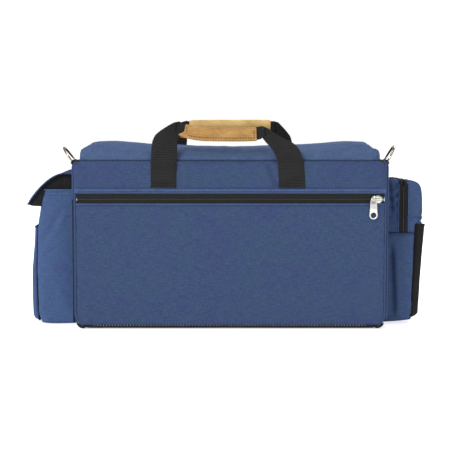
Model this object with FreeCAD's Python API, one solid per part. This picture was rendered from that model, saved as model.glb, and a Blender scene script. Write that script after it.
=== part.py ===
import FreeCAD, Part
import math
import os

# Soft-sided flight bag, millimetres.
# +X is the bag's right, -Y its near long side, +Z up.
# The origin is on the underside of the base panel, below the middle of the body.

# ---- driving dimensions -------------------------------------------------
BODY_HALF_X = 221.0      # body, without the end pockets
BODY_HALF_Y = 115.0
RIM_Z = 236.0            # top of the body, where the lid closes
SKIN = 2.0               # coated fabric with its backing
FOAM = 8.0               # padded wall
BASE_T = 2.5
BOARD_T = 2.5
BAND_Z = 190.0           # lower edge of the upper band
POCKET_TOP_Z = 177.0     # upper edge of the front pocket panel
ZIP_Z = 183.4            # centre line of the front zip
ZIP_HALF_GAP = 0.6
LID_X0, LID_X1 = -212.0, 211.0
LID_HALF_Y = 113.0
LID_Z0, LID_Z1 = 236.4, 261.0
LID_CHAMFER = 14.0
WEB_T = 3.0              # webbing thickness
LEG_L = (-112.5, -75.0)  # handle legs, X of the 38 mm webbing
LEG_R = (67.8, 105.3)
NEAR_Y = -119.0          # outer face of the near handle's webbing
NEAR_FOOT_Z = 201.0
NEAR_FOLD_Z = 214.75
FAR_Y = 127.0            # outer face of the far handle's webbing
FAR_FOOT_Z = 200.0
FAR_FOLD_Z = 213.75
POCKET_HALF_Y = 70.0     # end pockets
RING_X, RING_Z = 231.0, 231.0
RING_R = 20.0            # D-ring arc, wire centre
RING_WIRE = 1.75
RING_SIDE = 6.0
RING_LEAN_L = 36.0       # degrees from upright
RING_LEAN_R = 28.0

V = FreeCAD.Vector
os.makedirs("parts", exist_ok=True)


def box(x0, y0, z0, x1, y1, z1):
    return Part.makeBox(x1 - x0, y1 - y0, z1 - z0, V(x0, y0, z0))


def fuse(*shapes):
    s = shapes[0]
    for t in shapes[1:]:
        s = s.fuse(t)
    return s.removeSplitter()


def group(*shapes):
    return Part.makeCompound(list(shapes))


def prism_xz(points, y0, y1):
    """A polygon in the XZ plane, from y0 to y1."""
    wire = Part.makePolygon([V(x, y0, z) for x, z in points + points[:1]])
    return Part.Face(wire).extrude(V(0, y1 - y0, 0))


def prism_yz(points, x0, x1):
    """A polygon in the YZ plane, from x0 to x1."""
    wire = Part.makePolygon([V(x0, y, z) for y, z in points + points[:1]])
    return Part.Face(wire).extrude(V(x1 - x0, 0, 0))


def mirror_x(points):
    return [(-x, z) for x, z in points]


def rod_y(x, z, r, y0, y1):
    return Part.makeCylinder(r, y1 - y0, V(x, y0, z), V(0, 1, 0))


def rounded_plate(hx, hy, z0, z1, r):
    b = box(-hx, -hy, z0, hx, hy, z1)
    edges = [e for e in b.Edges if abs(e.Vertexes[0].Z - e.Vertexes[1].Z) > 1e-6]
    return b.makeFillet(r, edges)


def save(name, shape):
    shape.exportStep("parts/%s.step" % name)
    print(name, "solids", len(shape.Solids), "volume %.0f" % shape.Volume, "valid", shape.isValid())


HX, HY = BODY_HALF_X, BODY_HALF_Y
INX = HX - SKIN          # 219, inside of the end skins

# ---- base ---------------------------------------------------------------
save("base_panel", box(-HX, -HY, 0, HX, HY, BASE_T))
save("base_board", box(-INX, -103, BASE_T, INX, 113, BASE_T + BOARD_T))
ring = rounded_plate(HX + 2.2, HY + 2.2, 0.6, 7.0, 3.0).cut(box(-HX, -HY, 0, HX, HY, 10))
ring = ring.cut(box(-HX - 5, -73, 0, HX + 5, 73, 10))
save("base_piping", ring)

# ---- body walls ---------------------------------------------------------
save("left_gusset", box(-HX, -HY, BASE_T, -INX, HY, RIM_Z))
save("right_gusset", box(INX, -HY, BASE_T, HX, HY, RIM_Z))
save("front_pocket_panel", box(-INX, -HY, BASE_T, INX, -HY + SKIN, POCKET_TOP_Z))
save("front_upper_band", box(-INX, -HY, BAND_Z, INX, -HY + SKIN, RIM_Z))
save("front_band_pad", box(-INX, -113, 193, INX, -104, 234))
save("front_pocket_lining", box(-INX, -104, BASE_T, INX, -103, 234))
save("front_wall_foam", box(-211, -103, 5, 211, -96, 234))
save("back_panel", box(-INX, HY - SKIN, BASE_T, INX, HY, BAND_Z))
save("back_upper_band", box(-INX, HY - SKIN, BAND_Z, INX, HY, RIM_Z))
save("back_wall_foam", box(-211, 105, 5, 211, 113, 234))
save("left_wall_foam", box(-INX, -103, 5, -211, 113, 234))
save("right_wall_foam", box(211, -103, 5, INX, 113, 234))
lining = box(-211, -96, 5, 211, 105, 234).cut(box(-210, -95, 6, 210, 104, 240))
save("main_lining", lining)
rim = box(-INX, -113, 234, INX, 113, RIM_Z).cut(box(-210, -95, 230, 210, 104, 240))
save("rim_binding", rim)
save("padded_divider", box(58, -94.6, 6.2, 66, 103.6, 176))

# ---- front document pocket zip -----------------------------------------
TAPE_Y0, TAPE_Y1 = -114.6, -113.6
save("front_zip_tape_lower", box(-216, TAPE_Y0, POCKET_TOP_Z + 0.2, 219, TAPE_Y1, ZIP_Z - ZIP_HALF_GAP))
save("front_zip_tape_upper", box(-216, TAPE_Y0, ZIP_Z + ZIP_HALF_GAP, 219, TAPE_Y1, BAND_Z - 0.2))
save("front_zip_coil_lower", box(-212.5, TAPE_Y1, ZIP_Z - 2.6, 214.3, -112.2, ZIP_Z - ZIP_HALF_GAP))
save("front_zip_coil_upper", box(-212.5, TAPE_Y1, ZIP_Z + ZIP_HALF_GAP, 214.3, -112.2, ZIP_Z + 2.6))
save("front_zip_stops", group(
    box(-215.6, -115.4, ZIP_Z - 3.2, -213.0, TAPE_Y0, ZIP_Z + 3.2),
    box(214.8, -115.4, ZIP_Z - 3.2, 217.2, TAPE_Y0, ZIP_Z + 3.2)))


def slider_plate(cx, cz, length, height, y0, y1, along_x=True):
    """The slider's outer plate, waisted at its mouth end."""
    a, b = length / 2, height / 2
    pts = [(-a, -b), (a * 0.25, -b), (a, -b * 0.62), (a, b * 0.62), (a * 0.25, b), (-a, b)]
    if not along_x:
        pts = [(q, p) for p, q in pts]
    pts = [(cx + p, cz + q) for p, q in pts]
    return prism_xz(pts, y0, y1)


PIN_R, PULL_HOLE_R = 1.2, 1.28
# front slider: outer plate, neck through the gap of the tapes, inner plate, and a headed pin for the pull
SX, SZ = 206.3, ZIP_Z
PULL_X, PULL_Z = 200.8, 182.0
front_slider = fuse(
    slider_plate(SX, SZ, 15.6, 12.4, -118.0, -115.0),
    box(201.5, -115.2, SZ - 0.35, 209.5, -111.8, SZ + 0.35),
    box(199.5, -111.9, SZ - 4.4, 213.0, -110.5, SZ + 4.4),
    rod_y(PULL_X, PULL_Z, PIN_R, -120.6, -117.9),
    rod_y(PULL_X, PULL_Z, 2.3, -121.4, -120.4))
save("front_slider", front_slider)


def pull_tab(cx, cz, length, half_w, y0, y1, ring_r=5.3, ring_hole=2.2):
    """A tapered tab that hangs from its pin hole and ends in a ring."""
    end = cz - length
    pts = [(cx - 3.0, cz + 2.6), (cx + 3.0, cz + 2.6), (cx + half_w * 0.72, cz - 4), (cx + half_w * 0.62, end + 7), (cx - half_w * 0.62, end + 7), (cx - half_w * 0.72, cz - 4)]
    body = prism_xz(pts, y0, y1).fuse(rod_y(cx, end + ring_r, ring_r, y0, y1))
    body = body.cut(rod_y(cx, cz, PULL_HOLE_R, y0 - 1, y1 + 1))
    return body.cut(rod_y(cx, end + ring_r, ring_hole, y0 - 1, y1 + 1)).removeSplitter()


save("front_pull", pull_tab(PULL_X, PULL_Z, 26.6, 5.8, -120.2, -118.6))

# ---- lid ----------------------------------------------------------------


def lid_block(x0, y0, z0, x1, y1, z1, c):
    b = box(x0, y0, z0, x1, y1, z1)
    edges = [e for e in b.Edges if all(abs(v.Z - z1) < 1e-6 for v in e.Vertexes)]
    return b.makeChamfer(c, edges)


lid_outer = lid_block(LID_X0, -LID_HALF_Y, LID_Z0, LID_X1, LID_HALF_Y, LID_Z1, LID_CHAMFER)
lid_inner = lid_block(LID_X0 + 2, -LID_HALF_Y + 2, LID_Z0 - 5, LID_X1 - 2, LID_HALF_Y - 2, LID_Z1 - 2, LID_CHAMFER - 0.8)
save("lid_shell", lid_outer.cut(lid_inner))
save("lid_pad", lid_inner.common(box(-300, -200, LID_Z0 + 1.2, 300, 200, 300)))
save("lid_lining", box(LID_X0 + 2, -LID_HALF_Y + 2, LID_Z0, LID_X1 - 2, LID_HALF_Y - 2, LID_Z0 + 1.2))


def u_strip(x0, x1, y_near, y_far, z0, z1, t):
    """A strip standing round three sides: both ends and the far side."""
    outer = box(x0 - t, y_near, z0, x1 + t, y_far + t, z1)
    return outer.cut(box(x0, y_near - 1, z0 - 1, x1, y_far, z1 + 1))


save("lid_zip_tape", u_strip(LID_X0, LID_X1, -104, LID_HALF_Y, 240.0, 248.0 - 1.0, 1.2))
rim_tape = fuse(
    box(-221, -104, 236.0, -213.6, 113, 237.2),
    box(212.6, -104, 236.0, 221, 113, 237.2))
save("rim_zip_tape_ends", group(*rim_tape.Solids))
save("rim_zip_tape_far", box(-212, 115.0, 230.0, 212, 116.2, 239.0))

for side, sgn in (("left", -1), ("right", 1)):
    cx = sgn * 11.5
    body = slider_plate(0, 0, 14.0, 12.0, 0, 2.6)
    if sgn < 0:
        body = body.mirror(V(0, 0, 0), V(1, 0, 0))
    body.translate(V(cx, 116.4, 239.4))
    body = fuse(
        body,
        box(cx - 4, 114.4, 239.1, cx + 4, 116.6, 239.7),
        rod_y(cx + sgn * 3.5, 237.6, PIN_R, 118.9, 121.4),
        rod_y(cx + sgn * 3.5, 237.6, 2.3, 121.2, 122.0))
    save("lid_slider_%s" % side, body)
    save("lid_pull_%s" % side, pull_tab(cx + sgn * 3.5, 237.6, 21.0, 3.6, 119.4, 121.0, 3.6, 1.6))

# ---- handles ------------------------------------------------------------
near_left = [(LEG_L[0], 215.0), (-111.0, 238.0), (-109.5, 265.0), (-105.0, 274.0), (-84.0, 289.0), (-64.0, 291.5), (-64.0, 268.0), (-72.8, 262.0), (LEG_L[1], 250.0), (LEG_L[1], 215.0)]
near_right = [(LEG_R[1], 215.0), (101.2, 240.0), (97.2, 253.4), (86.5, 263.2), (66.9, 271.0), (52.6, 281.0), (38.0, 287.0), (38.0, 268.0), (46.3, 266.0), (57.1, 256.0), (64.1, 243.5), (66.9, 231.0), (LEG_R[0], 215.0)]
near_web = fuse(
    prism_xz(near_left, NEAR_Y, NEAR_Y + WEB_T),
    prism_xz(near_right, NEAR_Y, NEAR_Y + WEB_T),
    box(-66.0, -122.0, 268.0, 40.0, -116.0, 286.0))
save("near_handle_webbing", near_web)
near_grip = box(-62.5, -124.0, 265.5, 36.5, -114.0, 288.5)
near_grip = near_grip.makeFillet(3.5, [e for e in near_grip.Edges if abs(e.Vertexes[0].X - e.Vertexes[1].X) > 1])
save("near_handle_grip", near_grip.cut(near_web))
save("near_handle_feet", group(
    box(LEG_L[0], NEAR_Y, NEAR_FOOT_Z, LEG_L[1], NEAR_Y + WEB_T, 214.5),
    box(LEG_R[0], NEAR_Y, NEAR_FOOT_Z, LEG_R[1], NEAR_Y + WEB_T, 214.5)))

far_left = [(LEG_L[0], 214.0), (-110.5, 262.0), (-98.0, 283.0), (-84.0, 290.5), (-64.0, 291.5), (-64.0, 270.0), (-74.0, 262.0), (LEG_L[1], 250.0), (LEG_L[1], 214.0)]
far_right = [(LEG_R[1], 214.0), (98.0, 258.0), (94.0, 270.0), (74.0, 289.5), (62.0, 291.0), (62.0, 270.0), (66.0, 262.0), (LEG_R[0], 250.0), (LEG_R[0], 214.0)]
far_web = fuse(
    prism_xz(far_left, FAR_Y - WEB_T, FAR_Y),
    prism_xz(far_right, FAR_Y - WEB_T, FAR_Y),
    box(-66.0, 122.5, 270.0, 64.5, 128.5, 288.0))
save("far_handle_webbing", far_web)
far_grip = box(-62.5, 120.5, 267.5, 61.5, 130.5, 290.5)
far_grip = far_grip.makeFillet(3.5, [e for e in far_grip.Edges if abs(e.Vertexes[0].X - e.Vertexes[1].X) > 1])
save("far_handle_grip", far_grip.cut(far_web))
foot = [(115.1, FAR_FOOT_Z), (118.3, FAR_FOOT_Z), (127.0, 213.5), (123.8, 213.5)]
save("far_handle_feet", group(prism_yz(foot, *LEG_L), prism_yz(foot, *LEG_R)))

# ---- D-rings ------------------------------------------------------------


def d_ring(sgn, lean):
    r = Part.makeCylinder(RING_WIRE, 2 * RING_R, V(0, -RING_R, 0), V(0, 1, 0))
    for y in (-RING_R, RING_R):
        r = r.fuse(Part.makeSphere(RING_WIRE, V(0, y, 0)))
        r = r.fuse(Part.makeCylinder(RING_WIRE, RING_SIDE, V(0, y, 0), V(0, 0, 1)))
    # a half torus standing in the YZ plane, its arc above the straight sides
    arc = Part.makeTorus(RING_R, RING_WIRE, V(0, 0, RING_SIDE), V(1, 0, 0))
    arc = arc.common(Part.makeBox(10, 60, 60, V(-5, -30, RING_SIDE)))
    r = r.fuse(arc).removeSplitter()
    r.rotate(V(0, 0, 0), V(0, 1, 0), sgn * lean)
    r.translate(V(sgn * RING_X, 0, RING_Z))
    return r


save("d_ring_left", d_ring(-1, RING_LEAN_L))
save("d_ring_right", d_ring(1, RING_LEAN_R))
for side, sgn in (("left", -1), ("right", 1)):
    plate = box(221, -17.5, 225, 227.5, 17.5, 237)
    tube = rod_y(RING_X, RING_Z, 4.2, -17.5, 17.5)
    tab = plate.fuse(tube).cut(rod_y(RING_X, RING_Z, RING_WIRE + 0.09, -18, 18)).removeSplitter()
    if sgn < 0:
        tab = tab.mirror(V(0, 0, 0), V(1, 0, 0))
    save("d_ring_tab_%s" % side, tab)

# ---- left end pocket ----------------------------------------------------
P = POCKET_HALF_Y
left_out = [(-221, 3), (-277, 3), (-277, 86), (-275, 154), (-273, 177), (-267.5, 194), (-221, 194)]
left_in = [(-223, 5), (-275, 5), (-275, 86), (-273, 154), (-271, 177), (-265.2, 195), (-223, 195)]
left_shell = prism_xz(left_out, -P, P).cut(prism_xz(left_in, -P + 2, P - 2))
save("left_pocket_shell", left_shell)
slip_out = [(-277, 10), (-281, 10), (-282.6, 50), (-282.6, 148), (-277, 148)]
slip_in = [(-270, 11.5), (-279.7, 11.5), (-281.1, 50), (-281.1, 149), (-270, 149)]
left_slip = prism_xz(slip_out, -62, 62).cut(prism_xz(slip_in, -60.5, 60.5)).cut(prism_xz(left_out, -P, P))
save("left_slip_pocket", left_slip)
save("left_pocket_loop_strip", prism_xz([(-273.05, 177.1), (-274.3, 176.8), (-270.6, 188.6), (-269.4, 188.3)], -35, 35))
save("left_flap_root", box(-240.0, -72, 213.2, -221, 72, 217.2))
flap_out = [(-240.2, 217.2), (-255, 211.5), (-273.5, 197.5), (-292.5, 172.5)]
flap_mid = [(-240.2, 214.6), (-254.1, 209.1), (-271.6, 195.8), (-290.4, 171.0)]
flap_in = [(-240.2, 213.2), (-253.6, 207.8), (-270.5, 194.9), (-289.2, 170.2)]
save("left_flap_shell", prism_xz(flap_out + flap_mid[::-1], -72, 72))
save("left_flap_lining", prism_xz(flap_mid + flap_in[::-1], -72, 72))
save("left_flap_hook_strip", prism_xz([(-278.2, 182.55), (-285.0, 173.95), (-284.1, 173.3), (-277.3, 181.9)], -35, 35))

# ---- right end pocket ---------------------------------------------------
SEAM_X = 249.0           # centre line of the inverted-U zip
DOOR_Z = 156.0
right_out = [(221, 5), (264, 5), (266, 40), (266, 147), (271.5, 155.2), (248.4, 155.2), (248.4, 208), (221, 208)]
right_in = [(223, 7), (262, 7), (264, 40), (264, 147.5), (268.0, 153.6), (268.0, 156), (260, 160), (248.5, 160), (248.5, 206), (223, 206)]
right_shell = prism_xz(right_out, -P, P).cut(prism_xz(right_in, -P + 2, P - 2))
save("right_pocket_shell", right_shell)
door_out = [(249.6, DOOR_Z), (272.2, DOOR_Z), (275.6, 165), (275.0, 180), (273.8, 197), (266.5, 204.5), (249.6, 208)]
door_in = [(249.5, DOOR_Z - 1), (270.2, DOOR_Z - 1), (270.2, DOOR_Z + 0.5), (273.6, 165.3), (273.0, 180), (271.9, 196.2), (265.6, 202.7), (249.5, 206)]
save("right_pocket_door", prism_xz(door_out, -P, P).cut(prism_xz(door_in, -P + 2, P - 2)))


def u_tape(x0, x1, z_low, z_top, t):
    """A zip tape over the pocket's near side, top and far side."""
    outer = box(x0, -P - t, z_low, x1, P + t, z_top + t)
    return outer.cut(box(x0 - 1, -P, z_low - 1, x1 + 1, P, z_top))


inner_tape = u_tape(243.0, 248.3, 132.5, 208.0, 1.0)
low = group(box(248.3, -P - 1, 132.5, 254.6, -P, 155.0), box(248.3, P, 132.5, 254.6, P + 1, 155.0))
save("right_zip_tape_inner", fuse(inner_tape, low.Solids[0], low.Solids[1]))
door_tape = u_tape(249.7, 254.6, DOOR_Z + 0.2, 207.0, 1.0)
door_tape = door_tape.cut(prism_xz(door_out, -P, P))
save("right_zip_tape_outer", door_tape)
RSX = SEAM_X
plate = slider_plate(RSX, 166.0, 14.0, 11.0, 71.5, 74.0, along_x=False)
right_slider = fuse(
    plate,
    box(SEAM_X - 0.3, 70.3, 163.0, SEAM_X + 0.3, 71.7, 170.0),
    rod_y(RSX, 162.5, PIN_R, 73.9, 76.4),
    rod_y(RSX, 162.5, 2.3, 76.2, 77.0))
save("right_slider", right_slider)
save("right_pull", pull_tab(RSX, 162.5, 24.0, 4.6, 74.4, 76.0, 4.4, 1.9))
rs_out = [(266, 8), (268.5, 8), (276.6, 90), (278.4, 147), (266, 147)]
rs_in = [(260, 14), (267.2, 14), (275.1, 90), (276.9, 148), (260, 148)]
right_slip = prism_xz(rs_out, -62, 62).cut(prism_xz(rs_in, -60.5, 60.5)).cut(prism_xz(right_out, -P, P))
save("right_slip_pocket", right_slip)
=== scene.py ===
import bpy, bmesh, math
from mathutils import Vector, Matrix, noise


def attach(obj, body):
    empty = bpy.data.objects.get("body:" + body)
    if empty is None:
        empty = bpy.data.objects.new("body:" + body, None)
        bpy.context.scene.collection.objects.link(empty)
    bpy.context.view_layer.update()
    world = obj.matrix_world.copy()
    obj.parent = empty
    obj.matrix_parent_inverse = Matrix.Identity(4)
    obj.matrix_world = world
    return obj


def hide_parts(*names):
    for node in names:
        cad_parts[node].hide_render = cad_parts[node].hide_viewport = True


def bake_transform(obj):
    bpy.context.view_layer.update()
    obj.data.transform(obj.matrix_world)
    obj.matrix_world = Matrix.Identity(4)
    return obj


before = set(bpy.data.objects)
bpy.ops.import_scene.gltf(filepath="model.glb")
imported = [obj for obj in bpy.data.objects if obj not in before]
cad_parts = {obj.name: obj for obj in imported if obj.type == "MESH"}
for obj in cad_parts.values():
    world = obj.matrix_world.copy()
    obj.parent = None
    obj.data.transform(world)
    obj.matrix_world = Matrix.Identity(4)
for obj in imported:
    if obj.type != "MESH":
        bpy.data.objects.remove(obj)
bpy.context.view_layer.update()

# ------------------------------------------------------------------ helpers
def clamp(t, a=0.0, b=1.0):
    return max(a, min(b, t))


def S(a, b, t):
    t = clamp((t - a) / (b - a))
    return t * t * (3 - 2 * t)


def gauss(x, w):
    return math.exp(-(x / w) ** 2)


def nz(x, y, z, size, seed=0.0):
    """Smooth noise of about -1..1, features of about size mm."""
    return noise.noise(Vector((x / size + seed * 7.3, y / size - seed * 3.1, z / size + seed * 1.7)))


def fbm(x, y, z, size, seed=0.0, octaves=3):
    v, a = 0.0, 1.0
    for k in range(octaves):
        v += a * nz(x, y, z, size / 2 ** k, seed + k * 0.37)
        a *= 0.5
    return v


def lin(c):
    return tuple((v / 255) / 12.92 if v <= 10.3 else ((v / 255 + 0.055) / 1.055) ** 2.4 for v in c) + (1.0,)


def interp(points, t):
    """Piecewise smooth value through sorted (t, value) pairs."""
    if t <= points[0][0]:
        return points[0][1]
    for (t0, v0), (t1, v1) in zip(points, points[1:]):
        if t <= t1:
            return v0 + (v1 - v0) * (t - t0) / (t1 - t0)
    return points[-1][1]


def resample(pts, n, smooth=2):
    """n points evenly along a polyline, rounded by a few passes of averaging."""
    pts = [Vector(p) for p in pts]
    dense = []
    for a, b in zip(pts, pts[1:]):
        k = max(2, int((b - a).length / 1.0))
        dense += [a.lerp(b, i / k) for i in range(k)]
    dense.append(pts[-1])
    for _ in range(smooth * 3):
        dense = [dense[0]] + [(dense[i - 1] + dense[i] * 2 + dense[i + 1]) / 4 for i in range(1, len(dense) - 1)] + [dense[-1]]
    lengths = [0.0]
    for a, b in zip(dense, dense[1:]):
        lengths.append(lengths[-1] + (b - a).length)
    out, j = [], 0
    for i in range(n):
        s = lengths[-1] * i / (n - 1)
        while j < len(lengths) - 2 and lengths[j + 1] < s:
            j += 1
        seg = lengths[j + 1] - lengths[j]
        out.append(dense[j].lerp(dense[j + 1], clamp((s - lengths[j]) / seg if seg else 0)))
    return out


def finish_mesh(name, verts, faces, mat, body, nodes=(), smooth=True, subd=0, fix=True, mats=None, face_mats=None, auto=None, slot=None):
    """A piece from points in millimetres: metres, outward faces, UVs in metres by the face's main direction, a material, a body."""
    me = bpy.data.meshes.new(name)
    me.from_pydata([tuple(c * 0.001 for c in v) for v in verts], [], faces)
    bm = bmesh.new()
    bm.from_mesh(me)
    bmesh.ops.remove_doubles(bm, verts=bm.verts, dist=2e-6)
    if fix:
        bmesh.ops.recalc_face_normals(bm, faces=bm.faces)
    uv = bm.loops.layers.uv.new("UVMap")
    for f in bm.faces:
        f.smooth = smooth and len(f.verts) <= 4
        n = f.normal
        ax, ay, az = abs(n.x), abs(n.y), abs(n.z)
        for l in f.loops:
            c = l.vert.co
            l[uv].uv = (c.x, c.z) if ay >= ax and ay >= az else ((c.y, c.z) if ax >= az else (c.x, c.y))
    bm.to_mesh(me)
    bm.free()
    o = bpy.data.objects.new(name, me)
    bpy.context.scene.collection.objects.link(o)
    me.materials.append(mat)
    for m in mats or ():
        me.materials.append(m)
    if face_mats:
        for p in me.polygons:
            p.material_index = face_mats(p.center * 1000, p.normal)
    if subd:
        s = o.modifiers.new("sub", "SUBSURF")
        s.levels = s.render_levels = subd
    if body:
        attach(o, body)
    if nodes:
        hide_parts(*nodes)
    return o


def spread(n, edge, length):
    """Positions 0..length, closer together in the first and last edge."""
    e = min(edge, length * 0.3)
    head = [0, 0.04, 0.14, 0.32, 0.6, 1.0]
    head = [h * e for h in head]
    mid = [e + (length - 2 * e) * i / n for i in range(1, n)]
    return head + mid + [length - h for h in reversed(head)]


def panel(name, P, A, B, N, a0, a1, b0, b1, t, e, mat, body, nodes=(), radii=(0, 0, 0, 0), na=40, nb=24, bulge=None, edge_drop=0.0, slot=None, skip_back=False, **kw):
    """A sewn slab: its face stands t over the plane (P, A, B) and rolls down at the edges over e. bulge(a, b) is added, fading out at the edge. radii are of the corners a0b0, a1b0, a0b1, a1b1."""
    P, A, B, N = Vector(P), Vector(A), Vector(B), Vector(N)
    bs = spread(nb, e, b1 - b0)
    us = spread(na, e, a1 - a0)
    us = [u / (a1 - a0) for u in us]
    verts, faces = [], []

    def inset(r, d):
        return r - math.sqrt(max(0.0, r * r - (r - d) ** 2)) if r > 0 and d < r else 0.0

    m, k = len(us), len(bs)
    for b in bs:
        lo = a0 + max(inset(radii[0], b), inset(radii[2], (b1 - b0) - b))
        hi = a1 - max(inset(radii[1], b), inset(radii[3], (b1 - b0) - b))
        for u in us:
            a = lo + u * (hi - lo)
            d = min(a - lo, hi - a, b, (b1 - b0) - b)
            roll = math.sqrt(max(0.0, 1 - (1 - clamp(d / e)) ** 2))
            h = t * roll
            if bulge:
                h += bulge(a, b0 + b) * S(0, e * 1.6, d)
            verts.append(P + A * a + B * (b0 + b) + N * h)
    for j in range(k - 1):
        for i in range(m - 1):
            q = j * m + i
            faces.append((q, q + 1, q + m + 1, q + m))
    if not skip_back:
        loop = [i for i in range(m)] + [j * m + m - 1 for j in range(1, k)] + [(k - 1) * m + i for i in range(m - 2, -1, -1)] + [j * m for j in range(k - 2, 0, -1)]
        off = len(verts)
        for q in loop:
            verts.append(verts[q] - N * 0.6)
        L = len(loop)
        for i in range(L):
            faces.append((loop[i], loop[(i + 1) % L], off + (i + 1) % L, off + i))
        faces.append(tuple(off + i for i in range(L)))
    return finish_mesh(name, verts, faces, mat, body, nodes, slot=slot, **kw)


def frames(pts, up=Vector((0, 1, 0)), closed=False):
    """Tangent, side and normal along a line, with no twist."""
    n = len(pts)
    T = []
    for i in range(n):
        a = pts[(i - 1) % n] if closed or i else pts[0]
        b = pts[(i + 1) % n] if closed or i < n - 1 else pts[-1]
        T.append((b - a).normalized())
    side = T[0].cross(up)
    if side.length < 1e-3:
        side = T[0].cross(Vector((1, 0, 0)))
    side.normalize()
    out = []
    for t in T:
        side = (side - t * side.dot(t)).normalized()
        out.append((t, side, t.cross(side)))
    return out


def sweep(name, pts, profile, mat, body, nodes=(), closed=False, up=Vector((0, 1, 0)), caps=True, scale=None, **kw):
    """A closed profile [(s, n)] carried along pts."""
    pts = [Vector(p) for p in pts]
    fr = frames(pts, up, closed)
    verts, faces, m = [], [], len(profile)
    for i, (p, (t, s, n)) in enumerate(zip(pts, fr)):
        k = scale(i / (len(pts) - 1)) if scale else (1.0, 1.0)
        for a, b in profile:
            verts.append(p + s * a * k[0] + n * b * k[1])
    rings = len(pts) if closed else len(pts) - 1
    for i in range(rings):
        i2 = (i + 1) % len(pts)
        for j in range(m):
            faces.append((i * m + j, i * m + (j + 1) % m, i2 * m + (j + 1) % m, i2 * m + j))
    if not closed and caps:
        faces.append(tuple(range(m)))
        faces.append(tuple((len(pts) - 1) * m + j for j in range(m)))
    return finish_mesh(name, verts, faces, mat, body, nodes, **kw)


def circle(r, n=10):
    return [(r * math.cos(2 * math.pi * i / n), r * math.sin(2 * math.pi * i / n)) for i in range(n)]


def tube(name, pts, r, mat, body, nodes=(), closed=False, n=10, **kw):
    return sweep(name, pts, circle(r, n), mat, body, nodes, closed, **kw)


def ruled(name, edge0, edge1, n, m, thick, mat, body, nodes=(), lift=None, **kw):
    """A strip of webbing between two edge lines, with its thickness and rounded edges. lift(u, v) moves it along Y."""
    e0, e1 = resample(edge0, n), resample(edge1, n)
    front, back = [], []
    cols = [0, 0.02, 0.06] + [0.06 + 0.88 * i / m for i in range(1, m)] + [0.94, 0.98, 1]
    for i in range(n):
        u = i / (n - 1)
        for c in cols:
            p = e0[i].lerp(e1[i], c)
            h = thick / 2 * math.sqrt(max(0.0, 1 - max(0.0, abs(c - 0.5) * 2 - 0.9) ** 2 / 0.01))
            h = max(h, 0.0)
            y = lift(u, c) if lift else 0.0
            front.append(Vector((p.x, p.y + y - h, p.z)))
            back.append(Vector((p.x, p.y + y + h, p.z)))
    k = len(cols)
    verts = front + back
    off = len(front)
    faces = []
    for i in range(n - 1):
        for j in range(k - 1):
            q = i * k + j
            faces.append((q, q + 1, q + k + 1, q + k))
            faces.append((off + q, off + q + k, off + q + k + 1, off + q + 1))
    for i in (0, n - 1):
        for j in range(k - 1):
            q = i * k + j
            faces.append((q, q + 1, off + q + 1, off + q))
    return finish_mesh(name, verts, faces, mat, body, nodes, **kw)


def stitches(name, lines, mat, body, length=2.5, gap=1.3, width=0.8, height=0.5, normal=(0, -1, 0)):
    """Rows of thread: each line is a list of points on the surface (optionally with its own normal as the second item of a pair)."""
    verts, faces = [], []
    for line in lines:
        nrm = Vector(normal)
        if isinstance(line, tuple):
            line, nrm = line[0], Vector(line[1])
        pts = [Vector(p) for p in line]
        L = [0.0]
        for a, b in zip(pts, pts[1:]):
            L.append(L[-1] + (b - a).length)

        def at(s):
            for i in range(len(L) - 1):
                if s <= L[i + 1] or i == len(L) - 2:
                    seg = L[i + 1] - L[i]
                    return pts[i].lerp(pts[i + 1], clamp((s - L[i]) / seg if seg else 0))

        s = gap
        while s + length < L[-1]:
            a, b = at(s), at(s + length)
            t = (b - a).normalized()
            w = t.cross(nrm).normalized()
            mid = (a + b) / 2
            base = len(verts)
            verts.append(a)
            for q, r in ((a.lerp(b, 0.22), 0.8), (a.lerp(b, 0.78), 0.8)):
                for ang in (0, 60, 120, 180, 240, 300):
                    ca, sa = math.cos(math.radians(ang)), math.sin(math.radians(ang))
                    verts.append(q + w * (width / 2) * ca * r * 1.2 + nrm * height * 0.5 * sa * r * 1.2)
            verts.append(b)
            for i in range(6):
                j = (i + 1) % 6
                faces.append((base, base + 1 + i, base + 1 + j))
                faces.append((base + 1 + i, base + 7 + i, base + 7 + j, base + 1 + j))
                faces.append((base + 13, base + 7 + j, base + 7 + i))
            s += length + gap
    return finish_mesh(name, verts, faces, mat, body)

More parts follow.
